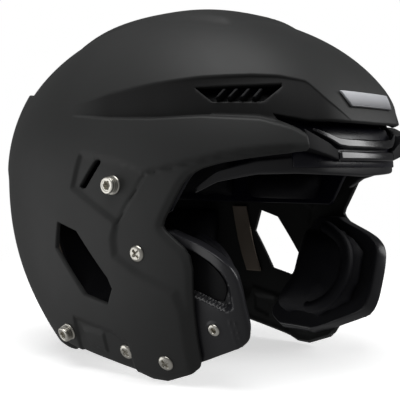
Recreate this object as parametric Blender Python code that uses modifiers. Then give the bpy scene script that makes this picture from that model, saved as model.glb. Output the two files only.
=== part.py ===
"""American football helmet without face mask: outer shell, liner shell, brow
bumpers, jaw pods, cushions and fasteners.

Frame: the helmet faces -Y, the wearer's right side is -X, up is +Z.  Z = 0 is
the plane the two jaw corners and the nape rest on.
"""
import math

import bmesh
import bpy
import numpy as np
from mathutils import Quaternion, Vector

MM = 0.001

# Outer surface: horizontal superellipses stacked from the rest plane to the crown.
CENTRE_Y = 6.4 * MM
WIDEST_Z = 140.0 * MM
HALF_WIDTH = 120.0 * MM
FRONT_REACH = 171.0 * MM
REAR_REACH = 150.0 * MM
DOME_HEIGHT = 122.5 * MM
FRONT_POWER = 2.7
REAR_POWER = 2.36
FRONT_DOME_POWER = 2.08
REAR_DOME_POWER = 1.95
LOW_WIDTH_DROP = 30.0 * MM
LOW_FRONT_DROP = 35.0 * MM
LOW_REAR_DROP = 67.0 * MM
SHIFT_Y = CENTRE_Y - 10.0 * MM
JAW_START = -83.0 * MM
JAW_RUN = 40.0 * MM
JAW_FLARE = 10.5 * MM

# Walls, measured inwards from the outer surface.
SHELL_WALL = 4.0 * MM
LINER_OUT = 16.5 * MM
LINER_IN = 19.5 * MM
PAD_OUT = 21.6 * MM
FIT_GAP = 0.4 * MM

# Fasteners.
SCREW_HEAD_R = 5.6 * MM
SCREW_SHANK_R = 2.2 * MM
SNAP_FLANGE_R = 6.4 * MM
CROSS_SLOT = (5.8 * MM, 1.1 * MM, 3.3 * MM)

PARTS = "football_helmet"
CUTTERS = "football_helmet_cutters"

FINISHES = {
    "shell": ((0.022, 0.022, 0.023), 0.48, 0.0),
    "bumper": ((0.020, 0.020, 0.022), 0.18, 0.0),
    "pod": ((0.018, 0.018, 0.021), 0.38, 0.0),
    "liner": ((0.012, 0.012, 0.016), 0.35, 0.0),
    "cushion": ((0.010, 0.010, 0.013), 0.75, 0.0),
    "badge": ((0.42, 0.43, 0.45), 0.30, 0.8),
    "steel": ((0.66, 0.64, 0.60), 0.26, 1.0),
    "vent": ((0.012, 0.012, 0.013), 0.45, 0.0),
    "hook": ((0.16, 0.14, 0.12), 0.95, 0.0),
}


# --------------------------------------------------------------------- surface
def smooth(t):
    """Smooth step from 0 to 1 for t from 0 to 1."""
    t = np.clip(t, 0.0, 1.0)
    return t * t * (3.0 - 2.0 * t)


def facing(alpha):
    """Weight 1 at the front (alpha 0) and 0 at the rear (alpha pi)."""
    return 0.5 + 0.5 * np.cos(alpha)


def reaches(alpha, z):
    """Half width and fore-aft reach of the section at height z."""
    low = np.clip((WIDEST_Z - z) / WIDEST_Z, 0.0, 1.3)
    wide = HALF_WIDTH - LOW_WIDTH_DROP * low ** 2.4
    front = FRONT_REACH - LOW_FRONT_DROP * low ** 2
    rear = REAR_REACH - LOW_REAR_DROP * low ** 2.28
    return wide, np.where(np.cos(alpha) > 0.0, front, rear)


def dome_power(alpha):
    """Vertical exponent of the dome in the direction alpha."""
    return REAR_DOME_POWER + (FRONT_DOME_POWER - REAR_DOME_POWER) * facing(alpha)


def section_radius(alpha, z):
    """Distance from the centre line to the outer surface in the section at z."""
    wide, reach = reaches(alpha, z)
    power = REAR_POWER + (FRONT_POWER - REAR_POWER) * facing(alpha)
    across = np.abs(np.sin(alpha)) / wide
    along = np.abs(np.cos(alpha)) / reach
    return (across ** power + along ** power) ** (-1.0 / power)


def base_point(alpha, z):
    """Point of the undisplaced outer surface at azimuth alpha and height z."""
    power = dome_power(alpha)
    high = np.clip((z - WIDEST_Z) / DOME_HEIGHT, 0.0, 1.0)
    shrink = np.clip(1.0 - high ** power, 0.0, 1.0) ** (1.0 / power)
    radius = section_radius(alpha, z) * shrink
    return np.stack([radius * np.sin(alpha), CENTRE_Y - radius * np.cos(alpha), z + 0.0 * radius], -1)


def level(z):
    """Function of azimuth that is the constant height z."""
    return lambda alpha: z + 0.0 * alpha


def implicit(p):
    """Homogeneous level function of the outer surface, 1 on the surface."""
    x = p[..., 0]
    y = p[..., 1] - CENTRE_Y
    z = p[..., 2]
    alpha = np.arctan2(x, -y)
    flat = np.hypot(x, y)
    ratio = flat / section_radius(alpha, z)
    power = dome_power(alpha)
    high = np.clip((z - WIDEST_Z) / DOME_HEIGHT, 0.0, None)
    return (ratio ** power + high ** power) ** (1.0 / power)


def normals(p):
    """Outward unit normals of the outer surface at the points p."""
    step = 0.2 * MM
    parts = []
    for axis in range(3):
        shift = np.zeros(3)
        shift[axis] = step
        parts.append(implicit(p + shift) - implicit(p - shift))
    grad = np.stack(parts, -1)
    return grad / np.linalg.norm(grad, axis=-1, keepdims=True)


def offset(p, depth):
    """Points p moved out along the normal by depth (negative is inwards)."""
    return p + normals(p) * np.asarray(depth)[..., None]


def side_point(y, z, side):
    """Point of the outer surface seen from the side at y, z."""
    y = np.asarray(y, float)
    z = np.asarray(z, float)
    x = np.full(y.shape, HALF_WIDTH)
    for _ in range(12):
        alpha = np.arctan2(x, -(y - CENTRE_Y))
        wide, reach = reaches(alpha, z)
        power = REAR_POWER + (FRONT_POWER - REAR_POWER) * facing(alpha)
        rise = dome_power(alpha)
        high = np.clip((z - WIDEST_Z) / DOME_HEIGHT, 0.0, 1.0)
        shrink = np.clip(1.0 - high ** rise, 0.0, 1.0) ** (1.0 / rise)
        rest = shrink ** power - (np.abs(y - CENTRE_Y) / reach) ** power
        x = wide * np.clip(rest, 1e-9, None) ** (1.0 / power)
    return np.stack([side * x, y, z], -1)


def jaw_point(y, z, side):
    """Point at y, z of the outer surface, which runs straighter ahead at the jaw."""
    point = side_point(y, z, side)
    point[..., 0] += side * JAW_FLARE * smooth((JAW_START - point[..., 1]) / JAW_RUN)
    return point


# -------------------------------------------------------------------- features
FLUTE_AZIMUTH = np.radians([0.0, 9.7, 15.7, 19.4, 26.0, 32.6, 45.7, 60.1, 77.8, 95.2, 110.0, 180.0])
FLUTE_EDGE = np.array([170.0, 174.0, 188.1, 200.0, 203.0, 203.6, 202.8, 200.0, 195.4, 188.0, 187.0, 187.0]) * MM
FLUTE_DEPTH = np.array([0.0, 2.0, 5.0, 6.5, 7.5, 8.0, 8.5, 8.5, 6.0, 0.0, 0.0, 0.0]) * MM
FLUTE_WIDTH = np.array([40.0, 40.0, 44.0, 48.0, 40.0, 32.0, 25.0, 25.0, 15.0, 8.0, 8.0, 8.0]) * MM


def flute(alpha, values):
    """Value of a flute table in the direction alpha, the same on both sides."""
    return np.interp(np.abs(alpha), FLUTE_AZIMUTH, values)


def relief(p):
    """Height of the moulded relief on the outer surface at the base points p."""
    x = np.abs(p[..., 0])
    y = p[..., 1] - SHIFT_Y
    z = p[..., 2]
    alpha = np.arctan2(x, -(p[..., 1] - CENTRE_Y))
    below = flute(alpha, FLUTE_EDGE) - z
    along = below / flute(alpha, FLUTE_WIDTH)
    cove = smooth(below / (2.0 * MM) + 0.5) * (1.0 - smooth(along))
    height = -flute(alpha, FLUTE_DEPTH) * cove
    band = smooth((98 * MM - x) / (34 * MM)) * smooth((y - 60 * MM) / (20 * MM))
    band = band * smooth((z - 132 * MM) / (12 * MM)) * smooth((204 * MM - z) / (3 * MM))
    height = height + 4.5 * MM * band
    crown = smooth((52 * MM - x) / (7 * MM)) * smooth((y + 72 * MM) / (12 * MM))
    height = height + 2.4 * MM * crown * smooth((z - 205 * MM) / (15 * MM))
    return height


# --------------------------------------------------------------------- helpers
def collection(name, hidden):
    """New collection linked to the scene."""
    made = bpy.data.collections.new(name)
    bpy.context.scene.collection.children.link(made)
    made.hide_render = hidden
    return made


def material(slot):
    """Principled material for a finish, made once per slot."""
    found = bpy.data.materials.get(slot)
    if found:
        return found
    color, rough, metal = FINISHES[slot]
    made = bpy.data.materials.new(slot)
    made.use_nodes = True
    shader = made.node_tree.nodes["Principled BSDF"]
    shader.inputs["Base Color"].default_value = (*color, 1.0)
    shader.inputs["Roughness"].default_value = rough
    shader.inputs["Metallic"].default_value = metal
    made.diffuse_color = (*color, 1.0)
    return made


def mesh_object(name, verts, faces, slot=None, rounded=True):
    """Object from points and faces, with its faces turned outwards."""
    mesh = bpy.data.meshes.new(name)
    mesh.from_pydata([tuple(map(float, v)) for v in verts], [], [tuple(map(int, f)) for f in faces])
    work = bmesh.new()
    work.from_mesh(mesh)
    bmesh.ops.remove_doubles(work, verts=work.verts, dist=1e-6)
    bmesh.ops.recalc_face_normals(work, faces=work.faces)
    if work.calc_volume(signed=True) < 0.0:
        bmesh.ops.reverse_faces(work, faces=work.faces)
    work.to_mesh(mesh)
    work.free()
    thing = bpy.data.objects.new(name, mesh)
    home = bpy.data.collections[PARTS if slot else CUTTERS]
    home.objects.link(thing)
    if slot:
        mesh.materials.append(material(slot))
    else:
        thing.hide_render = True
        thing.display_type = "WIRE"
    if rounded:
        mesh.polygons.foreach_set("use_smooth", [True] * len(mesh.polygons))
    return thing


def grid_faces(rows, cols, start=0, wrap=False):
    """Quads of a rows by cols grid of points."""
    faces = []
    last = cols if wrap else cols - 1
    for i in range(rows - 1):
        for j in range(last):
            k = (j + 1) % cols
            a = start + i * cols
            b = a + cols
            faces.append((a + j, a + k, b + k, b + j))
    return faces


def slab(name, outer, inner, slot):
    """Closed solid between two grids of points of the same size."""
    rows, cols = outer.shape[:2]
    verts = np.concatenate([outer.reshape(-1, 3), inner.reshape(-1, 3)])
    count = rows * cols
    faces = grid_faces(rows, cols)
    faces += [tuple(reversed(f)) for f in grid_faces(rows, cols, count)]
    ring = [j for j in range(cols)]
    ring += [i * cols + cols - 1 for i in range(1, rows)]
    ring += [(rows - 1) * cols + j for j in range(cols - 2, -1, -1)]
    ring += [i * cols for i in range(rows - 2, 0, -1)]
    for here, there in zip(ring, ring[1:] + ring[:1]):
        faces.append((here, here + count, there + count, there))
    return mesh_object(name, verts, faces, slot, rounded=False)


def prism(name, outline, near, far, axis=0):
    """Cutter with a closed outline in the plane across an axis."""
    verts = []
    for place in (near, far):
        for a, b in outline:
            point = [a, b]
            point.insert(axis, place)
            verts.append(point)
    count = len(outline)
    faces = [tuple(range(count)), tuple(range(2 * count - 1, count - 1, -1))]
    for i in range(count):
        k = (i + 1) % count
        faces.append((i, i + count, k + count, k))
    return mesh_object(name, verts, faces, None, rounded=False)


def aimed(thing, place, direction, turn=0.0):
    """Set an object down at a place with its Z axis along a direction."""
    facing_way = Vector(direction).to_track_quat("Z", "Y")
    spin = Quaternion((0.0, 0.0, 1.0), turn)
    thing.location = Vector(place)
    thing.rotation_euler = (facing_way @ spin).to_euler()
    return thing


def turned(name, profile, steps, place, direction, slot=None):
    """Profile of (radius, height) pairs spun by a Screw modifier and set along a direction."""
    line = [(radius, 0.0, height) for radius, height in profile]
    if profile[0][0]:
        line.insert(0, (0.0, 0.0, profile[0][1]))
    if profile[-1][0]:
        line.append((0.0, 0.0, profile[-1][1]))
    mesh = bpy.data.meshes.new(name + "_profile")
    mesh.from_pydata(line, [(i, i + 1) for i in range(len(line) - 1)], [])
    spun = bpy.data.objects.new(mesh.name, mesh)
    bpy.data.collections[CUTTERS].objects.link(spun)
    screw = spun.modifiers.new("turn", "SCREW")
    screw.steps = steps
    screw.render_steps = steps
    screw.use_smooth_shade = False
    screw.use_merge_vertices = True
    screw.merge_threshold = 1e-5
    graph = bpy.context.evaluated_depsgraph_get()
    made = spun.evaluated_get(graph).to_mesh()
    verts = [tuple(v.co) for v in made.vertices]
    faces = [tuple(f.vertices) for f in made.polygons]
    bpy.data.objects.remove(spun, do_unlink=True)
    return aimed(mesh_object(name, verts, faces, slot, rounded=False), place, direction)


BLOCK_FACES = [(0, 1, 2, 3), (7, 6, 5, 4), (0, 4, 5, 1), (1, 5, 6, 2), (2, 6, 7, 3), (3, 7, 4, 0)]


def block(name, near, far):
    """Cutter between two sets of four corners."""
    return mesh_object(name, np.concatenate([near, far]), BLOCK_FACES, None, rounded=False)


def bar_cutter(name, size, place, direction, turn, rise):
    """Straight bar of a size, lifted along a direction and turned about it."""
    corners = np.array([(-1, -1), (1, -1), (1, 1), (-1, 1)]) * np.array(size[:2]) / 2
    near = np.column_stack([corners, np.full(4, rise)])
    far = np.column_stack([corners, np.full(4, rise + size[2])])
    return aimed(block(name, near, far), place, direction, turn)


def boolean(thing, cutters, operation="DIFFERENCE"):
    """Apply one Boolean per cutter and keep the result as the object's mesh."""
    for cutter in cutters:
        step = thing.modifiers.new("cut", "BOOLEAN")
        step.operation = operation
        step.solver = "EXACT"
        step.object = cutter
        graph = bpy.context.evaluated_depsgraph_get()
        made = bpy.data.meshes.new_from_object(thing.evaluated_get(graph))
        thing.modifiers.clear()
        old = thing.data
        thing.data = made
        bpy.data.meshes.remove(old)
    work = bmesh.new()
    work.from_mesh(thing.data)
    bmesh.ops.remove_doubles(work, verts=work.verts, dist=5e-5)
    bmesh.ops.dissolve_degenerate(work, edges=work.edges, dist=2e-5)
    work.to_mesh(thing.data)
    work.free()
    return thing


def largest_body(thing):
    """Keep only the largest connected body of the object."""
    work = bmesh.new()
    work.from_mesh(thing.data)
    unseen = set(work.verts)
    bodies = []
    while unseen:
        stack = [unseen.pop()]
        body = list(stack)
        while stack:
            for edge in stack.pop().link_edges:
                for vert in edge.verts:
                    if vert in unseen:
                        unseen.remove(vert)
                        body.append(vert)
                        stack.append(vert)
        bodies.append(body)
    bodies.sort(key=len)
    for body in bodies[:-1]:
        bmesh.ops.delete(work, geom=body, context="VERTS")
    work.to_mesh(thing.data)
    work.free()
    return thing


# ----------------------------------------------------------------- main shells
def dome_rows(alpha, lowest):
    """Heights of the grid rows, rising with the flute edge around the shell."""
    edge = flute(alpha, FLUTE_EDGE)
    lip = edge - flute(alpha, np.clip(FLUTE_WIDTH, 0, 26 * MM))
    rows = [level(z * MM)(alpha) for z in (6, 26, 48, 70, 90, 108, 124, 138)]
    rows.insert(0, level(lowest)(alpha))
    for share in (0.5, 1.0):
        rows.append(140 * MM + (lip - 140 * MM) * share)
    for share in (0.45, 0.93, 1.05):
        rows.append(lip + (edge - lip) * share)
    top = WIDEST_Z + DOME_HEIGHT
    for share in (0.16, 0.33, 0.5, 0.65, 0.79, 0.9, 0.97):
        rows.append(edge + (top - edge) * share)
    return rows


def dome_solid(name, columns, depth, lowest, slot=None, shaped=True):
    """Closed dome solid whose wall is the outer surface moved in by depth."""
    alpha = np.linspace(-math.pi, math.pi, columns, endpoint=False)
    rows = dome_rows(alpha, lowest)
    if not shaped:
        rows = [level(z * MM)(alpha) for z in (90, 115, 140, 160, 180, 198, 214, 228, 240, 250, 257.5, 261.5)]
        rows.insert(0, level(lowest)(alpha))
    rings = []
    for row in rows:
        points = base_point(alpha, row)
        lift = relief(points) if shaped else 0.0
        rings.append(offset(points, lift - depth))
    grid = np.stack(rings)
    grid[0, :, 2] = lowest
    apex = np.array([[0.0, CENTRE_Y, WIDEST_Z + DOME_HEIGHT - depth]])
    if shaped:
        apex[0, 2] += 2.4 * MM
    verts = np.concatenate([grid.reshape(-1, 3), apex])
    faces = grid_faces(len(rows), columns, wrap=True)
    top = (len(rows) - 1) * columns
    for j in range(columns):
        faces.append((top + j, top + (j + 1) % columns, len(verts) - 1))
    faces.append(tuple(range(columns)))
    return mesh_object(name, verts, faces, slot)


RIM = [(-139.8, 154.8), (-119.8, 151.3), (-104.0, 148.2), (-92.5, 144.6), (-85.0, 140.5), (-79.8, 135.0),
       (-65.8, 111.5), (-64.6, 107.5), (-66.5, 104.5), (-79.3, 93.7), (-82.6, 88.0), (-83.5, 80.0),
       (-76.0, 17.5), (-73.0, 11.5), (-67.5, 8.0), (-46.0, 0.0), (-34.0, 0.0), (-24.0, 3.0), (56.0, 16.0),
       (64.0, 15.0), (79.0, 0.0)]
EAR = [(28.5, 107.0), (9.5, 101.5), (-16.5, 71.0), (-19.0, 64.0), (-12.3, 52.5), (9.2, 57.0), (33.0, 88.5)]


def outline(points):
    """Side outline in metres in the row frame."""
    return [(y * MM + SHIFT_Y, z * MM) for y, z in points]


def rim_cutter(name, brow):
    """Everything ahead of the face opening and below the lower edge."""
    closed = [(-0.250, brow), (-0.160 + SHIFT_Y, brow)] + outline(RIM)
    closed += [(0.220, 0.0), (0.220, -0.080), (-0.250, -0.080)]
    return prism(name, closed, -0.2, 0.2)


WINDOW = [(0.0, 174.0), (30.0, 174.5), (59.0, 177.0), (76.0, 182.0), (75.0, 179.0), (65.0, 170.5),
          (65.0, 140.0), (0.0, 140.0)]


def window_cutter(name):
    """Opening of the shell under the brow plate, seen from the front."""
    half = [(x * MM, z * MM) for x, z in WINDOW]
    mirrored = [(-x, z) for x, z in reversed(half) if x > 1e-6]
    return prism(name, half + mirrored, -0.25, -0.105, axis=1)


def mirrored_name(stem, side):
    """Name with the wearer's side."""
    return stem + ("_left" if side > 0 else "_right")


VENT = [(47.5, 198.0), (43.6, 190.6), (31.0, 190.4), (25.5, 199.0)]


def vent_cutter(side):
    """Tapered block through the shell where a louvre sits."""
    corners = []
    for azimuth, z in VENT:
        corners.append(base_point(np.radians(side * azimuth), z * MM))
    corners = np.array(corners)
    near = offset(corners, np.full(4, 6 * MM))
    far = offset(corners, np.full(4, -15.5 * MM))
    return block(mirrored_name("vent_cutter", side), near, far)


SLOT_VENT = [(-13.6, 149.6), (-10.4, 149.6), (4.6, 131.6), (1.2, 131.6)]

SCREWS = {"cheek_screw": (-44.1, 89.1), "low_mid_screw": (-17.5, 18.4), "low_front_screw": (-51.0, 15.4)}
SNAPS = {"upper_snap": (-26.1, 133.6), "lower_snap": (38.0, 26.8)}


def seat(stem, side):
    """Point of the outer surface and its normal where a fastener sits."""
    y, z = {**SCREWS, **SNAPS}[stem]
    point = side_point(y * MM + SHIFT_Y, z * MM, side)
    return point, normals(point)


def fastener_cutters(side):
    """Counterbore and bore of every fastener on one side."""
    made = []
    for stem in list(SCREWS) + list(SNAPS):
        point, way = seat(stem, side)
        wide = (SCREW_HEAD_R if stem in SCREWS else SNAP_FLANGE_R) + FIT_GAP
        profile = [(SCREW_SHANK_R + FIT_GAP, -12 * MM), (SCREW_SHANK_R + FIT_GAP, -1.2 * MM),
                   (wide, -1.2 * MM), (wide, 6 * MM)]
        made.append(turned(mirrored_name(stem + "_cutter", side), profile, 20, point, way))
    return made


def build_outer_shell():
    """Moulded shell with the face, neck and ear openings and the vents."""
    shell = dome_solid("outer_shell", 64, 0.0, -6 * MM, "shell")
    hollow = dome_solid("shell_hollow", 44, SHELL_WALL, -12 * MM)
    cutters = [hollow, rim_cutter("rim_cutter", 158.0 * MM), window_cutter("window_cutter")]
    cutters.append(prism("ear_cutter", outline(EAR), -0.2, 0.2))
    cutters.append(prism("slot_vent_cutter", outline(SLOT_VENT), -0.2, 0.2))
    for side in (-1, 1):
        cutters.append(vent_cutter(side))
        cutters += fastener_cutters(side)
    boolean(shell, cutters)
    return largest_body(shell)


def build_liner_shell():
    """Smooth inner shell behind the columns, open below and at the face."""
    liner = dome_solid("liner_shell", 40, LINER_OUT, 60 * MM, "liner", shaped=False)
    hollow = dome_solid("liner_hollow", 32, LINER_IN, 40 * MM, shaped=False)
    front = prism("liner_front_cutter", outline(LINER_FRONT), -0.2, 0.2)
    boolean(liner, [hollow, front])
    return largest_body(liner)


LINER_FRONT = [(-200.0, 168.0), (-140.0, 166.0), (-110.0, 158.0), (-88.0, 150.0), (-76.0, 136.0),
               (-62.0, 114.0), (200.0, 114.0), (200.0, 20.0), (-200.0, 20.0)]


# ------------------------------------------------------------- conforming parts
def patch(name, azimuths, low, high, rows, outer, inner, slot):
    """Slab that follows the shell between two azimuths and two height curves."""
    alpha = np.radians(np.asarray(azimuths, float))[None, :]
    share = np.linspace(0.0, 1.0, rows)[:, None]
    z = low(alpha) * (1.0 - share) + high(alpha) * share
    points = base_point(alpha + 0.0 * z, z)
    return slab(name, offset(points, -outer + 0.0 * z), offset(points, -inner + 0.0 * z), slot)


def cushion_patch(name, azimuths, low, high, rows, outer, inner, slot="cushion"):
    """Cushion that follows the shell, drawn in and rounded towards the head."""
    alpha = np.radians(np.asarray(azimuths, float))[None, :]
    share = np.linspace(0.0, 1.0, rows)[:, None]
    z = low(alpha) * (1.0 - share) + high(alpha) * share
    points = base_point(alpha + 0.0 * z, z)
    return cushion_solid(name, points, outer, inner, slot)


def cushion_solid(name, points, outer, inner, slot):
    """Closed cushion from a grid of outer surface points."""
    rows, cols = points.shape[:2]
    u = np.linspace(-1.0, 1.0, cols)[None, :]
    v = np.linspace(-1.0, 1.0, rows)[:, None]
    dome = (1.0 - np.abs(u) ** 4) * (1.0 - np.abs(v) ** 4)
    back = offset(points, np.full((rows, cols), -outer))
    centre = back.mean(axis=(0, 1))
    depth = outer + (inner - outer) * (0.55 + 0.45 * dome)
    drawn = centre + (points - centre) * 0.94
    front = offset(drawn, -depth + 0.0 * drawn[..., 0])
    return slab(name, back, front, slot)


def side_grid(heights, rear, front, columns, side):
    """Outer surface points between a rear and a front edge given per height."""
    z = np.array(heights)[:, None] * MM
    share = np.linspace(0.0, 1.0, columns)[None, :]
    y = np.array(rear)[:, None] * (1.0 - share) + np.array(front)[:, None] * share
    if side < 0:
        y = y[:, ::-1]
    return jaw_point(y * MM + SHIFT_Y, z + 0.0 * y, side)


def table(azimuths, values):
    """Function of azimuth from a short table, the same on both sides."""
    return lambda alpha: np.interp(np.degrees(np.abs(alpha)), azimuths, np.array(values) * MM)


def build_brow():
    """Channel wall, two bumper bars, wing tips and inner rim under the brow plate."""
    wide = np.linspace(-25.0, 25.0, 17)
    patch("brow_channel", wide, level(146 * MM), table([0, 10, 25], [178, 178, 177]), 4,
          11 * MM, 14.5 * MM, "liner")
    arms = [-21.5, -19.0, -16.0, -13.4, -10.0, -5.0, 0.0, 5.0, 10.0, 13.4, 16.0, 19.0, 21.5]
    patch("bumper_upper", arms, table([0, 10, 13.4, 16, 21.5], [158.6, 158.8, 159.6, 164, 172.2]),
          table([0, 10, 13.4, 16, 21.5], [167, 166.8, 167.5, 171, 174.6]), 3, 5.2 * MM, 10.7 * MM, "bumper")
    patch("bumper_lower", np.linspace(-18.0, 18.0, 13), level(149.6 * MM), level(157.8 * MM), 3,
          5.8 * MM, 10.7 * MM, "bumper")
    for side in (-1, 1):
        tip = side * np.linspace(18.6, 22.9, 3)
        patch(mirrored_name("wing_tip", side), np.sort(tip), level(157.4 * MM),
              table([18.6, 22.9], [162.0, 169.5]), 3, 3.2 * MM, 10.6 * MM, "shell")
    rim = [-50, -46, -42, -36, -30, -24, -16, -8, 0, 8, 16, 24, 30, 36, 42, 46, 50]
    patch("brow_rim", rim, table([0, 24, 34, 44, 50], [138, 140, 138, 131, 117]),
          table([0, 24, 34, 44, 50], [148.8, 156, 152, 144, 131]), 4, 15 * MM, 19.6 * MM, "bumper")


def build_badge():
    """Plain plate set on the brow."""
    x = np.linspace(-27.0, 27.0, 7)[None, :] * MM
    z = np.array([183.8, 188.8, 193.9])[:, None] * MM
    slant = (z - 188.8 * MM) * 0.5
    x = x + slant * np.sign(x) * np.abs(x) / (27 * MM)
    alpha = np.arctan2(x, FRONT_REACH * 0.90)
    points = base_point(alpha, z + 0.0 * alpha)
    return slab("brow_badge", offset(points, 2.0 * MM + 0.0 * alpha), offset(points, 0.5 * MM + 0.0 * alpha), "badge")


def build_vent(side):
    """Louvre set in the flute: a plate with five slanted slots."""
    name = mirrored_name("side_vent", side)
    azimuths = side * np.linspace(46.6, 27.4, 9)
    low = table([27.4, 31.5, 43.2, 46.6], [195.6, 191.2, 191.4, 196.0])
    high = table([27.4, 46.6], [198.2, 197.2])
    vent = patch(name, np.sort(azimuths), low, high, 3, 11.6 * MM, 13.6 * MM, "vent")
    cutters = []
    for i, azimuth in enumerate((42.4, 39.8, 37.2, 34.6, 32.2)):
        foot = base_point(np.radians(side * (azimuth + 0.5)), 193.2 * MM)
        head = base_point(np.radians(side * (azimuth - 0.5)), 196.0 * MM)
        way = normals(foot)
        across = np.cross(way, head - foot)
        across = across / np.linalg.norm(across) * 1.3 * MM
        ring = np.array([foot - across, foot + across, head + across, head - across])
        cutters.append(block("%s_slot_%d" % (name, i), ring + way * 4 * MM, ring - way * 24 * MM))
    return boolean(vent, cutters)


POD_HEIGHTS = [7.0, 10.0, 14.0, 20.0, 25.0, 30.0, 40.0, 52.0, 66.0, 78.0, 86.0, 93.0, 99.0, 104.0]
POD_FRONT = [-50.0, -64.0, -76.0, -89.0, -103.0, -113.0, -116.5, -116.5, -116.5, -115.0, -109.0, -97.0, -81.0,
             -65.0]
POD_REAR = [-26.0, -16.0, -9.0, -8.0, -10.5, -14.0, -24.0, -30.0, -32.0, -34.0, -35.0, -36.0, -40.0, -50.0]
MASK_INSERT = (-90.5, 39.0)
POD_OUT = 7.0 * MM
POD_IN = 17.0 * MM


def insert_seat(side):
    """Place and direction of the mask insert, square to the pod's outer face."""
    y = MASK_INSERT[0] * MM + SHIFT_Y
    z = MASK_INSERT[1] * MM
    step = 0.5 * MM
    along = jaw_point(y + step, z, side) - jaw_point(y - step, z, side)
    up = jaw_point(y, z + step, side) - jaw_point(y, z - step, side)
    way = side * np.cross(along, up)
    way = way / np.linalg.norm(way)
    face = offset(jaw_point(y, z, side)[None], np.array([-POD_OUT]))[0]
    return face + way * POD_OUT, way


def bore(name, stem, side, radius, deep):
    """Blind bore along a fastener."""
    point, way = seat(stem, side)
    return turned(name, [(radius, -deep), (radius, 10 * MM)], 14, point, way)


def build_jaw(side):
    """Plastic pod ahead of the shell edge with its cushion and mask insert."""
    points = side_grid(POD_HEIGHTS, POD_REAR, POD_FRONT, 15, side)
    size = points.shape[:2]
    pod = slab(mirrored_name("jaw_pod", side), offset(points, np.full(size, -POD_OUT)),
               offset(points, np.full(size, -POD_IN)), "pod")
    cutters = []
    for stem in SCREWS:
        cutters.append(bore(mirrored_name(stem + "_bore", side), stem, side, SCREW_SHANK_R + FIT_GAP, 13 * MM))
    spot, way = insert_seat(side)
    cutters.append(turned(mirrored_name("insert_bore", side), [(3.4 * MM, -14.5 * MM), (3.4 * MM, 0.0)], 14,
                          spot, way))
    boolean(pod, cutters)
    profile = [(0, -14), (3.0, -14), (3.0, -6.6), (4.2, -6.6), (4.2, -5.9), (3.8, -5.5), (2.0, -5.5),
               (2.0, -10), (0, -10)]
    turned(mirrored_name("mask_insert", side), [(r * MM, h * MM) for r, h in profile], 16, spot, way, "steel")
    heights = [17.0, 24.0, 36.0, 50.0, 64.0, 78.0, 88.0, 95.0]
    front = [-70.0, -88.0, -105.0, -109.0, -109.0, -107.5, -98.0, -82.0]
    rear = [-22.0, -18.0, -26.0, -34.0, -36.0, -38.0, -40.0, -44.0]
    pad = side_grid(heights, rear, front, 12, side)
    cushion_solid(mirrored_name("jaw_pad", side), pad, POD_IN + 2 * FIT_GAP, 40 * MM, "cushion")


def build_fasteners(side):
    """Cross-head screws, chin-strap snaps and the nuts behind the snaps."""
    for stem in SCREWS:
        point, way = seat(stem, side)
        profile = [(0, -12), (2.2, -12), (2.2, -0.8), (5.6, -0.8), (5.6, 0.4), (4.6, 1.5), (0, 2.0)]
        screw = turned(mirrored_name(stem, side), [(r * MM, h * MM) for r, h in profile], 16, point, way, "steel")
        cutters = []
        for i, turn in enumerate((0.5, 0.5 + math.pi / 2)):
            cutter = mirrored_name("%s_cross_%d" % (stem, i), side)
            cutters.append(bar_cutter(cutter, CROSS_SLOT, point, way, turn, 0.7 * MM))
        boolean(screw, cutters)
    for stem in SNAPS:
        point, way = seat(stem, side)
        profile = [(0, -7.6), (2.2, -7.6), (2.2, -0.8), (6.4, -0.8), (6.4, 1.2), (4.9, 2.0), (4.9, 5.0),
                   (5.8, 5.4), (5.8, 7.2), (5.2, 7.8), (2.6, 7.8), (2.6, 4.6), (0, 4.6)]
        turned(mirrored_name(stem, side), [(r * MM, h * MM) for r, h in profile], 16, point, way, "steel")
        profile = [(0, -9.2), (5.6, -9.2), (6, -8.8), (6, -5.2), (2.7, -5.2), (2.7, -8.0), (0, -8.0)]
        turned(mirrored_name(stem + "_nut", side), [(r * MM, h * MM) for r, h in profile], 16, point, way, "steel")


def crown_point(x, y):
    """Point of the outer surface above x, y on the crown."""
    flat = np.hypot(x, y - CENTRE_Y)
    alpha = np.arctan2(x, -(y - CENTRE_Y))
    ratio = flat / section_radius(alpha, WIDEST_Z + 0.0 * x)
    power = dome_power(alpha)
    high = (1.0 - ratio ** power) ** (1.0 / power)
    return np.stack([x, y, WIDEST_Z + DOME_HEIGHT * high], -1)


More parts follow.
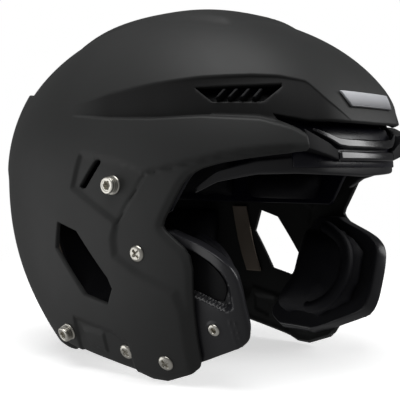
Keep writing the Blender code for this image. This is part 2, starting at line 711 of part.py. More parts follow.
def build_cushions():
    """Cushions round the head."""
    cushion_patch("front_pad", np.linspace(-30, 30, 9), level(170 * MM), level(212 * MM), 5, PAD_OUT, 44 * MM)
    x = np.linspace(-44, 44, 7)[None, :] * MM
    y = np.linspace(-52, 66, 9)[:, None] * MM
    squeeze = np.sqrt(1.0 - 0.42 * (np.linspace(-1, 1, 9)[:, None]) ** 2)
    points = crown_point(x * squeeze, y + 0.0 * x)
    cushion_solid("crown_pad", points, PAD_OUT, 44 * MM, "cushion")
    cushion_patch("rear_pad", np.linspace(154, 206, 8), level(118 * MM), level(196 * MM), 6, PAD_OUT, 50 * MM)
    cushion_patch("nape_pad", np.linspace(155, 205, 8), level(20 * MM), level(104 * MM), 6, 5 * MM, 34 * MM)
    for side in (-1, 1):
        temple = side_grid([117, 124, 131, 138, 145], [22, 24, 25, 25, 24], [-50, -56, -60, -62, -60], 7, side)
        cushion_solid(mirrored_name("temple_pad", side), temple, PAD_OUT, 42 * MM, "cushion")
        azimuths = np.sort(side * np.linspace(50, 98, 8))
        cushion_patch(mirrored_name("upper_pad", side), azimuths, level(152 * MM), level(202 * MM), 5,
                      PAD_OUT, 40 * MM)
        azimuths = np.sort(side * np.linspace(117, 142, 5))
        cushion_patch(mirrored_name("side_pad", side), azimuths, level(40 * MM), level(108 * MM), 6,
                      5 * MM, 32 * MM)
        azimuths = np.sort(side * np.linspace(106, 143, 6))
        cushion_patch(mirrored_name("upper_side_pad", side), azimuths, level(118 * MM), level(190 * MM), 5,
                      PAD_OUT, 40 * MM)
        heights = [56, 70, 84, 98, 110]
        front = side_grid(heights, [39.5, 46, 52, 57, 61], [22, 28, 34.5, 40, 45], 3, side)
        size = front.shape[:2]
        slab(mirrored_name("hook_strip", side), offset(front, np.full(size, -4.8 * MM)),
             offset(front, np.full(size, -6.6 * MM)), "hook")


def build_columns(side):
    """Band of short columns that carries the liner inside the shell."""
    name = mirrored_name("column_band", side)
    azimuths = np.sort(side * np.linspace(62, 132, 9))
    band = patch(name, azimuths, level(146 * MM), level(170 * MM), 3, 13.6 * MM, 15.2 * MM, "liner")
    studs = []
    for i, azimuth in enumerate(np.linspace(66, 128, 7)):
        for k, z in enumerate((151.0, 163.5)):
            spot = base_point(np.radians(side * (azimuth + 2.4 * k)), z * MM)
            studs.append(turned("%s_stud_%d_%d" % (name, i, k), [(3.2 * MM, -14.4 * MM), (2.4 * MM, -9.6 * MM),
                                (3.2 * MM, -4.9 * MM)], 6, spot, normals(spot)))
    return boolean(band, studs, "UNION")


def main():
    """Build every sub-part."""
    for thing in list(bpy.data.objects):
        bpy.data.objects.remove(thing, do_unlink=True)
    collection(PARTS, False)
    collection(CUTTERS, True)
    build_outer_shell()
    build_liner_shell()
    build_brow()
    build_badge()
    build_cushions()
    for side in (-1, 1):
        build_vent(side)
        build_jaw(side)
        build_fasteners(side)
        build_columns(side)


main()
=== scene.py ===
"""American football helmet without its face mask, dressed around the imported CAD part.

Row frame: the helmet faces -Y, the wearer's left is +X, +Z is up and Z = 0 is
the plane it stands on.  Sizes are in metres.
"""

import logging
import math
from dataclasses import dataclass, field
from enum import Enum
from typing import Callable, Dict, List, Optional, Sequence, Tuple

import bpy
import numpy as np
from mathutils import Euler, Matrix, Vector


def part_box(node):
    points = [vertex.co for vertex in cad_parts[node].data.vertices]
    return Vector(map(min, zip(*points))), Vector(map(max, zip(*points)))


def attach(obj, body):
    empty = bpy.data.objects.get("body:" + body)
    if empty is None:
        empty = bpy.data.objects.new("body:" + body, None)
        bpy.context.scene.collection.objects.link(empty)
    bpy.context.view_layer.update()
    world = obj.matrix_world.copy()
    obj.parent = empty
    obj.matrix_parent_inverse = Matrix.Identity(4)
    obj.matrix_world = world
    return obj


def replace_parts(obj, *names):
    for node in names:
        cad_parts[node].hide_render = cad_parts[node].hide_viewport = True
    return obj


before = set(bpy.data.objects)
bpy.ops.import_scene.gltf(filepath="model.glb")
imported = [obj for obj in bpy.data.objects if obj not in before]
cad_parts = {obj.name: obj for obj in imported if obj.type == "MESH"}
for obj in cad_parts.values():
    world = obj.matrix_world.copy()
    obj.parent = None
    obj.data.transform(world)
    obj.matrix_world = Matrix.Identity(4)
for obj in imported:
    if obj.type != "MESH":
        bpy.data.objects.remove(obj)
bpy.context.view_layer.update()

LOG = logging.getLogger("helmet")
MM = 0.001
Array = np.ndarray
Outline = Sequence[Tuple[float, float]]


class Side(Enum):
    """The wearer's two sides; the value is the sign of X."""

    LEFT = 1
    RIGHT = -1

    @property
    def word(self) -> str:
        """Name of the side as node names use it."""
        return self.name.lower()

    def named(self, stem: str) -> str:
        """Node name of a piece on this side."""
        return "%s_%s" % (stem, self.word)


def smooth(t: Array) -> Array:
    """Smooth step: 3t^2 - 2t^3 with t held between 0 and 1."""
    t = np.clip(t, 0.0, 1.0)
    return t * t * (3.0 - 2.0 * t)


def signed_distance(points: Array, outline: Outline) -> Array:
    """Distance of plane points to a closed outline, positive inside it.

    The distance is the least over the sides; inside is told by counting the
    sides that a ray along the first axis crosses.

    Args:
        points: N by 2 array.
        outline: corners in order, the last joined to the first.

    Returns:
        N distances.
    """
    best = np.full(len(points), np.inf)
    inside = np.zeros(len(points), bool)
    corners = np.asarray(outline, float)
    for a, b in zip(corners, np.roll(corners, -1, 0)):
        along = b - a
        share = np.clip(((points - a) @ along) / (along @ along), 0.0, 1.0)
        best = np.minimum(best, np.linalg.norm(points - (a + share[:, None] * along), axis=1))
        crosses = (a[1] > points[:, 1]) != (b[1] > points[:, 1])
        rise = along[1] if along[1] else 1e-12
        reach = a[0] + (points[:, 1] - a[1]) * along[0] / rise
        inside ^= crosses & (points[:, 0] < reach)
    return np.where(inside, best, -best)


def line_distance(points: Array, path: Outline) -> Array:
    """Distance of plane points to an open path.

    Args:
        points: N by 2 array.
        path: corners in order.

    Returns:
        N distances.
    """
    best = np.full(len(points), np.inf)
    corners = np.asarray(path, float)
    for a, b in zip(corners[:-1], corners[1:]):
        along = b - a
        gap = points - a
        share = np.clip((gap @ along) / (along @ along), 0.0, 1.0)
        best = np.minimum(best, np.linalg.norm(gap - share[:, None] * along, axis=1))
    return best


# --------------------------------------------------------------------------- hull
@dataclass(frozen=True)
class Hull:
    """Outer surface: superellipse sections stacked from the rest plane to the crown."""

    centre_y: float = 6.4 * MM
    widest_z: float = 140.0 * MM
    half_width: float = 120.0 * MM
    front: float = 171.0 * MM
    rear: float = 150.0 * MM
    dome: float = 122.5 * MM
    front_power: float = 2.7
    rear_power: float = 2.36
    front_dome_power: float = 2.08
    rear_dome_power: float = 1.95
    width_drop: float = 30.0 * MM
    front_drop: float = 35.0 * MM
    rear_drop: float = 67.0 * MM
    jaw_start: float = -83.0 * MM
    jaw_run: float = 40.0 * MM
    jaw_flare: float = 10.5 * MM
    width_curve: float = 2.4
    rear_curve: float = 2.28
    lowest: float = 1.3
    substitutions: int = 12

    @property
    def shift_y(self) -> float:
        """Step from drawing heights to the row frame along Y."""
        return self.centre_y - 10.0 * MM

    @staticmethod
    def facing(alpha: Array) -> Array:
        """Weight (1 + cos alpha) / 2: 1 at the front and 0 at the rear."""
        return 0.5 + 0.5 * np.cos(alpha)

    def dome_power(self, alpha: Array) -> Array:
        """Vertical exponent in the direction alpha."""
        return self.rear_dome_power + (self.front_dome_power - self.rear_dome_power) * self.facing(alpha)

    def extents(self, alpha: Array, z: Array) -> Tuple[Array, Array, Array]:
        """Half width a, reach b along Y and exponent n of the section at z."""
        low = np.clip((self.widest_z - z) / self.widest_z, 0.0, self.lowest)
        wide = self.half_width - self.width_drop * low ** self.width_curve
        ahead = self.front - self.front_drop * low ** 2
        behind = self.rear - self.rear_drop * low ** self.rear_curve
        reach = np.where(np.cos(alpha) > 0.0, ahead, behind)
        power = self.rear_power + (self.front_power - self.rear_power) * self.facing(alpha)
        return wide, reach, power

    def section(self, alpha: Array, z: Array) -> Array:
        """Radius of the section at z: (|sin/a|^n + |cos/b|^n)^(-1/n)."""
        wide, reach, power = self.extents(alpha, z)
        across = np.abs(np.sin(alpha)) / wide
        along = np.abs(np.cos(alpha)) / reach
        return (across ** power + along ** power) ** (-1.0 / power)

    def shrink(self, alpha: Array, z: Array) -> Array:
        """Share of the widest section left at height z in the dome: (1 - h^n)^(1/n)."""
        power = self.dome_power(alpha)
        high = np.clip((z - self.widest_z) / self.dome, 0.0, 1.0)
        return np.clip(1.0 - high ** power, 0.0, 1.0) ** (1.0 / power)

    def at(self, alpha: Array, z: Array) -> Array:
        """Surface point at azimuth alpha (0 at the front, positive to +X) and height z."""
        alpha, z = np.broadcast_arrays(np.asarray(alpha, float), np.asarray(z, float))
        radius = self.section(alpha, z) * self.shrink(alpha, z)
        return np.stack([radius * np.sin(alpha), self.centre_y - radius * np.cos(alpha), z], -1)

    def at_rise(self, alpha: Array, psi: Array) -> Array:
        """Dome point at azimuth alpha and rise psi, 0 at the widest section and 1 at the crown."""
        power = self.dome_power(alpha)
        up = np.sin(psi * math.pi / 2)
        out = np.abs(np.cos(psi * math.pi / 2))
        scale = (up ** power + out ** power) ** (-1.0 / power)
        radius = self.section(alpha, self.widest_z + 0.0 * psi) * out * scale
        height = self.widest_z + self.dome * up * scale
        return np.stack([radius * np.sin(alpha), self.centre_y - radius * np.cos(alpha), height], -1)

    def rise_of(self, alpha: Array, z: Array) -> Array:
        """Rise that gives the height z in the dome."""
        high = np.clip((z - self.widest_z) / self.dome, 0.0, 1.0)
        return np.arctan2(high, self.shrink(alpha, z)) / (math.pi / 2)

    def beside(self, y: Array, z: Array, side: Side) -> Array:
        """Surface point seen from one side at y, z, found by repeated substitution.

        Ahead of the shell's edge the jaw runs straighter than the hull, so a
        smooth step is added to x there.
        """
        y, z = np.broadcast_arrays(np.asarray(y, float), np.asarray(z, float))
        x = np.full(y.shape, self.half_width)
        for _ in range(self.substitutions):
            alpha = np.arctan2(x, -(y - self.centre_y))
            wide, reach, power = self.extents(alpha, z)
            rest = self.shrink(alpha, z) ** power - (np.abs(y - self.centre_y) / reach) ** power
            x = wide * np.clip(rest, 1e-9, None) ** (1.0 / power)
        x = x + self.jaw_flare * smooth((self.jaw_start - y) / self.jaw_run)
        return np.stack([side.value * x, y, z], -1)

    def level(self, p: Array) -> Array:
        """Homogeneous level function of the surface: 1 on it, more outside."""
        x, y, z = p[..., 0], p[..., 1] - self.centre_y, p[..., 2]
        alpha = np.arctan2(x, -y)
        power = self.dome_power(alpha)
        ratio = np.hypot(x, y) / self.section(alpha, z)
        high = np.clip((z - self.widest_z) / self.dome, 0.0, None)
        return (ratio ** power + high ** power) ** (1.0 / power)

    def normals(self, p: Array) -> Array:
        """Outward unit normals: the gradient of the level function by central differences."""
        step = 0.2 * MM
        slopes = []
        for axis in range(3):
            move = np.zeros(3)
            move[axis] = step
            slopes.append(self.level(p + move) - self.level(p - move))
        grad = np.stack(slopes, -1)
        return grad / np.linalg.norm(grad, axis=-1, keepdims=True)

    def out(self, p: Array, distance: Array) -> Array:
        """Points moved outwards along the normal (inwards if negative)."""
        return p + self.normals(p) * np.asarray(distance)[..., None]


HULL = Hull()


RIM: Outline = ((-139.8, 154.8), (-119.8, 151.3), (-104.0, 148.2), (-92.5, 144.6), (-85.0, 140.5),
                (-79.8, 135.0), (-65.8, 111.5), (-64.6, 107.5), (-66.5, 104.5), (-79.3, 93.7),
                (-82.6, 88.0), (-83.5, 80.0), (-76.0, 17.5), (-73.0, 11.5), (-67.5, 8.0), (-46.0, 0.0),
                (-34.0, 0.0), (-24.0, 3.0), (56.0, 16.0), (64.0, 15.0), (79.0, 0.0))
FACE_EDGE: Outline = (((-250.0, 158.0), (-160.0, 158.0)) + RIM
                      + ((220.0, 0.0), (220.0, -80.0), (-250.0, -80.0)))


@dataclass(frozen=True)
class Relief:
    """Moulded relief of the outer shell: flutes, rear band, crown ridge, recesses and creases."""

    azimuths: Tuple[float, ...] = (0.0, 9.7, 15.7, 19.4, 26.0, 32.6, 45.7, 60.1, 77.8, 95.2, 110.0, 125.0,
                                   140.0, 155.0, 180.0)
    edges: Tuple[float, ...] = (170.0, 174.0, 188.1, 200.0, 203.0, 203.6, 202.8, 200.0, 195.4, 188.0,
                                190.5, 196.5, 200.5, 202.5, 203.0)
    depths: Tuple[float, ...] = (0.0, 2.0, 5.0, 7.0, 9.5, 10.8, 11.2, 10.4, 6.2, 0.0, 0.0, 0.0, 0.0, 0.0,
                                 0.0)
    widths: Tuple[float, ...] = (40.0, 40.0, 44.0, 42.0, 34.0, 29.0, 26.0, 24.0, 18.0, 8.0, 8.0, 8.0, 8.0,
                                 8.0, 8.0)
    panel: Outline = ((4.6, 154.0), (12.1, 131.6), (-29.0, 109.3), (-40.1, 124.2), (-53.3, 141.8),
                      (-30.0, 149.0))
    groove: Outline = ((-139.0, 157.0), (-120.0, 154.6), (-104.0, 152.0), (-91.2, 148.9), (-53.3, 141.8),
                       (-40.1, 124.2), (-29.0, 109.3))
    cheek: Outline = ((-25.0, 98.0), (-25.5, 87.0), (-42.0, 77.0), (-70.0, 65.5), (-73.5, 52.0),
                      (-67.0, -6.0), (-130.0, -6.0), (-160.0, 140.0))
    strap: Outline = ((27.0, 38.9), (-10.5, 32.2), (-22.3, 25.5), (-20.0, -6.0), (34.0, -6.0))
    tab: Outline = ((22.2, 31.8), (0.0, 30.0), (1.6, 15.5), (17.9, 20.0))

    def table(self, alpha: Array, values: Sequence[float]) -> Array:
        """Value of one of the tables at |alpha|, in metres."""
        return np.interp(np.abs(alpha), np.radians(self.azimuths), np.asarray(values) * MM)

    def edge(self, alpha: Array) -> Array:
        """Height of the flute's upper edge, which runs on as the rear band's top."""
        return self.table(alpha, self.edges)

    def height(self, p: Array) -> Array:
        """Height of the relief at base points p.

        The flute deepens steadily below its edge and then runs out in a
        short ledge; the band, ridge and recesses are products of smooth
        steps.
        """
        x = np.abs(p[..., 0])
        y = p[..., 1] - HULL.shift_y
        z = p[..., 2]
        alpha = np.arctan2(x, -(p[..., 1] - HULL.centre_y))
        below = self.edge(alpha) - z
        share = below / self.table(alpha, self.widths)
        cove = (0.12 * smooth(below / (1.6 * MM) + 0.5) + 0.88 * np.clip(share / 0.80, 0.0, 1.0) ** 0.85)
        cove = np.where(below > -1.0 * MM, cove, 0.0) * (1.0 - smooth((share - 0.78) / 0.24))
        height = -self.table(alpha, self.depths) * cove
        band = smooth((98 * MM - x) / (34 * MM)) * smooth((y - 60 * MM) / (20 * MM))
        band = band * smooth((z - 132 * MM) / (12 * MM)) * smooth(below / (1.6 * MM) + 0.5)
        height = height + 4.5 * MM * band
        crown = smooth((52 * MM - x) / (7 * MM)) * smooth((y + 72 * MM) / (12 * MM))
        height = height + 2.4 * MM * crown * smooth((z - 205 * MM) / (15 * MM))
        return height + self.side_height(x, y / MM, z / MM)

    def side_height(self, x: Array, y: Array, z: Array) -> Array:
        """Recesses, groove, cheek step and rolled rim, drawn in the side view in millimetres."""
        flat = np.stack([y, z], -1).reshape(-1, 2)
        at_side = smooth((x - 62 * MM) / (12 * MM))
        total = np.zeros(x.shape)
        for outline, deep, soft in ((self.panel, 1.8, 3.0), (self.strap, 1.5, 2.2), (self.tab, -1.1, 1.8)):
            inside = signed_distance(flat, outline).reshape(x.shape)
            total = total - deep * smooth(inside / soft + 0.5) * at_side
        inside = signed_distance(flat, tuple(self.groove) + tuple(self.cheek)).reshape(x.shape)
        soft = 1.4 + 5.0 * smooth((112.0 - z) / 12.0)
        total = total - 1.8 * smooth(inside / soft + 0.5)
        gap = line_distance(flat, self.groove).reshape(x.shape)
        total = total - 0.7 * (1.0 - smooth(gap / 2.4))
        rim = -signed_distance(flat, FACE_EDGE).reshape(x.shape)
        return (total - 1.3 * (1.0 - smooth(rim / 4.5))) * MM

    def lift(self, p: Array) -> Array:
        """Base points moved onto the moulded surface."""
        return HULL.out(p, self.height(p))


RELIEF = Relief()


# ----------------------------------------------------------------------- shaders
class Socket:
    """One output of a shader graph that takes part in Python arithmetic."""

    def __init__(self, graph: "Graph", out: bpy.types.NodeSocket) -> None:
        """Keep the graph and the output."""
        self.graph = graph
        self.out = out

    def maths(self, operation: str, *others: object, flip: bool = False) -> "Socket":
        """Math node on this socket and others.

        Args:
            operation: name of the Math node's operation.
            others: sockets or numbers.
            flip: put the first of the others ahead of this socket.

        Returns:
            The result's socket.
        """
        terms = [self] + list(others)
        if flip:
            terms[0], terms[1] = terms[1], terms[0]
        return self.graph.node("ShaderNodeMath", {"operation": operation}, dict(enumerate(terms)))

    def __add__(self, other: object) -> "Socket":
        """Sum as a Math node."""
        return self.maths("ADD", other)

    __radd__ = __add__

    def __mul__(self, other: object) -> "Socket":
        """Product as a Math node."""
        return self.maths("MULTIPLY", other)

    __rmul__ = __mul__

    def __sub__(self, other: object) -> "Socket":
        """Difference as a Math node."""
        return self.maths("SUBTRACT", other)

    def __rsub__(self, other: object) -> "Socket":
        """Difference, turned round as a Math node."""
        return self.maths("SUBTRACT", other, flip=True)

    def __pow__(self, other: object) -> "Socket":
        """Power as a Math node."""
        return self.maths("POWER", other)

    def ramp(self, low: float, high: float) -> "Socket":
        """Smooth step of the socket's value from low to high."""
        settings = {"interpolation_type": "SMOOTHSTEP"}
        inputs = {"Value": self, "From Min": low, "From Max": high}
        return self.graph.node("ShaderNodeMapRange", settings, inputs)

    def sine(self) -> "Socket":
        """Sine of the value."""
        return self.maths("SINE")


class Graph:
    """Node graph of one material around its Principled shader."""

    def __init__(self, name: str) -> None:
        """Make a material with its default Principled shader."""
        self.material = bpy.data.materials.new(name)
        self.material.use_nodes = True
        self.tree = self.material.node_tree
        self.shader = self.tree.nodes["Principled BSDF"]

    def node(self, kind: str, settings: Dict[str, object], inputs: Dict[object, object],
             out: object = 0) -> Socket:
        """New node with its settings and inputs.

        Args:
            kind: type name of the node.
            settings: attributes of the node.
            inputs: sockets or values by input name or number.
            out: name or number of the output wanted.

        Returns:
            That output.
        """
        made = self.tree.nodes.new(kind)
        for key, value in settings.items():
            setattr(made, key, value)
        for key, value in inputs.items():
            self.feed(made.inputs[key], value)
        return Socket(self, made.outputs[out])

    def feed(self, socket: bpy.types.NodeSocket, value: object) -> None:
        """Link a socket to an input, or set the input's value."""
        if isinstance(value, Socket):
            self.tree.links.new(value.out, socket)
        else:
            socket.default_value = value

    def place(self) -> Socket:
        """Object coordinates."""
        return self.node("ShaderNodeTexCoord", {}, {}, "Object")

    def axis(self, name: str) -> Socket:
        """One of the object coordinates."""
        return self.node("ShaderNodeSeparateXYZ", {}, {0: self.place()}, name)

    def noise(self, scale: float, detail: float = 2.0) -> Socket:
        """Noise over object coordinates, scale in cycles per metre."""
        inputs = {"Vector": self.place(), "Scale": scale, "Detail": detail}
        return self.node("ShaderNodeTexNoise", {}, inputs, 0)

    def mix(self, share: object, a: Tuple[float, ...], b: Tuple[float, ...]) -> Socket:
        """Colour between a and b."""
        return self.node("ShaderNodeMix", {"data_type": "RGBA"}, {0: share, 6: (*a, 1.0), 7: (*b, 1.0)}, 2)

    def bump(self, height: Socket, distance: float, strength: float = 1.0) -> None:
        """Feed the normal from a height field."""
        inputs = {"Height": height, "Distance": distance, "Strength": strength}
        self.put(Normal=self.node("ShaderNodeBump", {}, inputs))

    def put(self, **inputs: object) -> None:
        """Set or link inputs of the shader; an underscore in a name stands for a space."""
        for key, value in inputs.items():
            self.feed(self.shader.inputs[key.replace("_", " ")], value)


@dataclass(frozen=True)
class Finish:
    """Moulded plastic: base colour with a slow tone change and a fine moulded grain."""

    name: str
    slot: str
    color: Tuple[float, float, float]
    light: Tuple[float, float, float]
    roughness: float
    spread: float = 0.06
    grain: float = 1400.0
    depth: float = 0.00002
    coat: float = 0.0
    specular: float = 0.5

    def build(self) -> bpy.types.Material:
        """Make the material."""
        graph = Graph(self.name)
        self.base(graph)
        self.surface(graph)
        return graph.material

    def tone(self, graph: Graph) -> Socket:
        """Base colour with its slow change."""
        slow = graph.noise(18.0, 3.0)
        return graph.mix(slow.ramp(0.3, 0.7), self.color, self.light)

    def base(self, graph: Graph) -> None:
        """Colour and gloss."""
        graph.put(Base_Color=self.tone(graph))
        graph.put(Roughness=graph.noise(90.0) * self.spread + (self.roughness - self.spread / 2))
        graph.put(Coat_Weight=self.coat, Coat_Roughness=0.12, Specular_IOR_Level=self.specular)

    def surface(self, graph: Graph) -> None:
        """Fine grain."""
        graph.bump(graph.noise(self.grain, 3.0), self.depth)


@dataclass(frozen=True)
class ShellFinish(Finish):
    """Moulded plastic with painted shade: darker where the mesh's shade attribute says so."""

    # deep is the colour of the painted shade in the flutes
    deep: Tuple[float, float, float] = (0.0030, 0.0031, 0.0033)

    def tone(self, graph: Graph) -> Socket:
        """Base colour, which turns to the painted shade colour where the painted shade is 1."""
        shade = graph.node("ShaderNodeAttribute", {"attribute_name": "shade"}, {}, "Fac")
        inputs = {0: shade, 6: Finish.tone(self, graph), 7: (*self.deep, 1.0)}
        return graph.node("ShaderNodeMix", {"data_type": "RGBA"}, inputs, 2)


@dataclass(frozen=True)
class MetalFinish(Finish):
    """Plated steel with a fine grain."""

    def base(self, graph: Graph) -> None:
        """Colour and gloss of bare metal."""
        Finish.base(self, graph)
        graph.put(Metallic=1.0)


@dataclass(frozen=True)
class FabricFinish(Finish):
    """Knitted cover: two crossed sine waves make the stitches."""

    pitch: float = 0.0011

    def surface(self, graph: Graph) -> None:
        """Stitches, and soft creases from a slower noise."""
        turn = 2.0 * math.pi / self.pitch
        along = (graph.axis("X") + graph.axis("Y")) * turn
        stitch = along.sine() * (graph.axis("Z") * turn).sine()
        graph.bump(stitch * 0.5 + graph.noise(160.0) * 2.0, 0.0001, 0.6)


@dataclass(frozen=True)
class PlateFinish(Finish):
    """Brushed plate, lighter towards its upper edge."""

    low: float = 0.184
    high: float = 0.195

    def base(self, graph: Graph) -> None:
        """Gradient up the plate with fine brushing along it."""
        rise = graph.axis("Z").ramp(self.low, self.high)
        graph.put(Base_Color=graph.mix(rise, self.color, self.light), Metallic=0.15)
        stretched = graph.node("ShaderNodeVectorMath", {"operation": "MULTIPLY"},
                               {0: graph.place(), 1: (30.0, 30.0, 4000.0)})
        brushed = graph.node("ShaderNodeTexNoise", {}, {"Vector": stretched, "Scale": 1.0}, 0)
        graph.put(Roughness=brushed * 0.2 + self.roughness)


class Look(Enum):
    """Finishes of the helmet."""

    SHELL = ShellFinish("shell_matt", "shell", (0.0225, 0.0232, 0.0230), (0.0250, 0.0257, 0.0255), 0.55,
                        specular=0.30, grain=1800.0, depth=0.00003)
    GLOSS = Finish("bar_gloss", "bumper", (0.008, 0.008, 0.010), (0.011, 0.011, 0.013), 0.16, coat=0.3)
    POD = Finish("pod_satin", "pod", (0.016, 0.016, 0.018), (0.020, 0.020, 0.023), 0.30, specular=0.4)
    LINER = Finish("liner_satin", "liner", (0.004, 0.004, 0.009), (0.007, 0.007, 0.014), 0.28,
                   specular=0.35)
    # The vent finish also serves as painted shade on the wing ends and in the pod pocket.
    VENT = Finish("vent_satin", "vent", (0.005, 0.005, 0.006), (0.008, 0.008, 0.009), 0.55, specular=0.12)
    CUSHION = FabricFinish("cushion_knit", "cushion", (0.003, 0.003, 0.005), (0.006, 0.006, 0.009), 0.62,
                           specular=0.2)
    HOOK = FabricFinish("hook_tape", "hook", (0.15, 0.125, 0.10), (0.24, 0.20, 0.165), 0.9, pitch=0.0016,
                        specular=0.2)
    STEEL = MetalFinish("plated_steel", "steel", (0.55, 0.53, 0.48), (0.68, 0.66, 0.60), 0.30, grain=3000.0)
    BADGE = PlateFinish("badge_plate", "badge", (0.16, 0.16, 0.17), (0.56, 0.57, 0.60), 0.34)

    @property
    def material(self) -> bpy.types.Material:
        """Material of the finish, made at its first use."""
        return bpy.data.materials.get(self.value.name) or self.value.build()


# ------------------------------------------------------------------------ meshes
@dataclass
class Solid:
    """Vertices and faces of a closed surface, with faces as rows of 3 or 4 numbers."""

    verts: Array
    faces: List[Array] = field(default_factory=list)

    def joined(self, other: "Solid") -> "Solid":
        """This solid and another as one mesh."""
        shift = len(self.verts)
        faces = list(self.faces) + [f + shift for f in other.faces]
        return Solid(np.concatenate([self.verts, other.verts]), faces)

    def outward(self) -> "Solid":
        """The same solid with a positive volume."""
        volume = 0.0
        for f in self.faces:
            for k in range(1, f.shape[1] - 1):
                a, b, c = (self.verts[f[:, i]] for i in (0, k, k + 1))
                volume += float(np.einsum("ij,ij->", a, np.cross(b, c)))
        if volume < 0.0:
            return Solid(self.verts, [f[:, ::-1] for f in self.faces])
        return self


def add(name: str, solid: Solid, look: Look, body: str, flat: float = 40.0) -> bpy.types.Object:
    """Put a solid into the scene and let it ride on a CAD body.

    Args:
        name: object name.
        solid: closed surface.
        look: finish.
        body: CAD body.
        flat: edges sharper than this angle in degrees stay sharp.

    Returns:
        The object.
    """
    solid = solid.outward()
    mesh = bpy.data.meshes.new(name)
    counts = np.concatenate([np.full(len(f), f.shape[1]) for f in solid.faces])
    loops = np.concatenate([f.ravel() for f in solid.faces])
    mesh.vertices.add(len(solid.verts))
    mesh.vertices.foreach_set("co", solid.verts.astype(np.float32).ravel())
    mesh.loops.add(len(loops))
    mesh.loops.foreach_set("vertex_index", loops.astype(np.int32))
    mesh.polygons.add(len(counts))
    mesh.polygons.foreach_set("loop_start", np.concatenate([[0], np.cumsum(counts)[:-1]]).astype(np.int32))
    mesh.polygons.foreach_set("loop_total", counts.astype(np.int32))
    mesh.update(calc_edges=True)
    mesh.validate()
    mesh.polygons.foreach_set("use_smooth", np.ones(len(mesh.polygons), bool))
    mesh.set_sharp_from_angle(angle=math.radians(flat))
    mesh.materials.append(look.material)
    thing = bpy.data.objects.new(name, mesh)
    bpy.context.scene.collection.objects.link(thing)
    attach(thing, body)
    return thing


def quads(rows: int, cols: int, wrap: bool = False) -> Array:
    """Faces of a grid of points stored row by row."""
    i = np.arange(rows - 1)[:, None] * cols
    j = np.arange(cols if wrap else cols - 1)[None, :]
    k = (j + 1) % cols
    return np.stack([i + j, i + k, i + cols + k, i + cols + j], -1).reshape(-1, 4)


def eased(size: float, radius: float, count: int, turns: int = 4) -> Tuple[Array, Array]:
    """Stations across a width with round edges, and how far each lies under the top.

    Within a radius of an edge a station at r(1 - cos t) lies r(1 - sin t)
    lower; the rest is level.

    Args:
        size: width.
        radius: edge radius.
        count: stations between the two edges.
        turns: stations round each edge.

    Returns:
        Shares of the width from 0 to 1, and the drops.
    """
    radius = min(radius, 0.49 * size)
    t = np.linspace(0.0, math.pi / 2, turns + 1)
    edge = radius * (1.0 - np.cos(t))
    drop = radius * (1.0 - np.sin(t))
    middle = np.linspace(radius, size - radius, count + 2)[1:-1]
    where = np.concatenate([edge, middle, size - edge[::-1]]) / size
    return where, np.concatenate([drop, np.zeros(count), drop[::-1]])


@dataclass
class Slab:
    """Solid with round edges between two depths under a surface.

    The surface is given over u and v from 0 to 1.  Near the border both faces
    draw together by the larger of the two edge drops, so the rim is round.
    """

    surface: Callable[[Array, Array], Array]
    width: float
    height: float
    outer: float
    inner: float
    radius: float = 0.001
    columns: int = 24
    rows: int = 12
    bulge: Optional[Callable[[Array, Array], Array]] = None

    def solid(self) -> Solid:
        """Build the closed surface."""
        radius = min(self.radius, 0.499 * (self.inner - self.outer))
        u, drop_u = eased(self.width, radius, self.columns)
        v, drop_v = eased(self.height, radius, self.rows)
        uu, vv = np.meshgrid(u, v)
        across = 1.0 - (1.0 - drop_u / radius) ** 2
        upward = 1.0 - (1.0 - drop_v / radius) ** 2
        left = np.clip(1.0 - across[None, :] - upward[:, None], 0.0, None)
        drop = radius * (1.0 - np.sqrt(left))
        base = self.surface(uu, vv)
        lift = self.bulge(uu, vv) if self.bulge else 0.0
        normals = HULL.normals(base)
        top = base - normals * (self.outer + drop - lift)[..., None]
        bottom = base - normals * (self.inner - drop)[..., None]
        rows, cols = uu.shape
        count = rows * cols
        verts = np.concatenate([top.reshape(-1, 3), bottom.reshape(-1, 3)])
        cells = quads(rows, cols)
        ring = np.concatenate([np.arange(cols),
                               np.arange(1, rows) * cols + cols - 1,
                               (rows - 1) * cols + np.arange(cols - 2, -1, -1),
                               np.arange(rows - 2, 0, -1) * cols])
        after = np.roll(ring, -1)
        wall = np.stack([ring, ring + count, after + count, after], -1)
        return Solid(verts, [cells, cells[:, ::-1] + count, wall])


def belt(azimuths: Tuple[float, float], low: Callable[[Array], Array],
         high: Callable[[Array], Array]) -> Callable[[Array, Array], Array]:
    """Surface between two azimuths in degrees and two height curves."""
    def surface(u: Array, v: Array) -> Array:
        """Hull point at the shares u and v."""
        alpha = np.radians(azimuths[0] + (azimuths[1] - azimuths[0]) * u)
        return HULL.at(alpha, low(alpha) * (1.0 - v) + high(alpha) * v)
    return surface


def curve(azimuths: Sequence[float], values: Sequence[float]) -> Callable[[Array], Array]:
    """Height in metres over |azimuth| from a short table in degrees and millimetres."""
    return lambda alpha: np.interp(np.degrees(np.abs(alpha)), azimuths, np.asarray(values, float) * MM)


def rounded_table(at: Array, stations: Sequence[float], values: Sequence[float], soft: float) -> Array:
    """Table look-up averaged over a short span, which rounds its corners."""
    total = 0.0
    offsets = np.linspace(-soft, soft, 9)
    for step in offsets:
        total = total + np.interp(at + step, stations, values)
    return total / len(offsets)


def flank(side: Side, heights: Sequence[float], rear: Sequence[float], front: Sequence[float],
          soft: float = 4.0) -> Callable[[Array, Array], Array]:
    """Surface on one side between a rear and a front edge given per height in millimetres."""
    def surface(u: Array, v: Array) -> Array:
        """Hull point at the shares u and v."""
        z = heights[0] + (heights[-1] - heights[0]) * v
        back = rounded_table(z, heights, rear, soft)
        ahead = rounded_table(z, heights, front, soft)
        y = (back * (1.0 - u) + ahead * u) * MM + HULL.shift_y
        return HULL.beside(y, z * MM, side)
    return surface


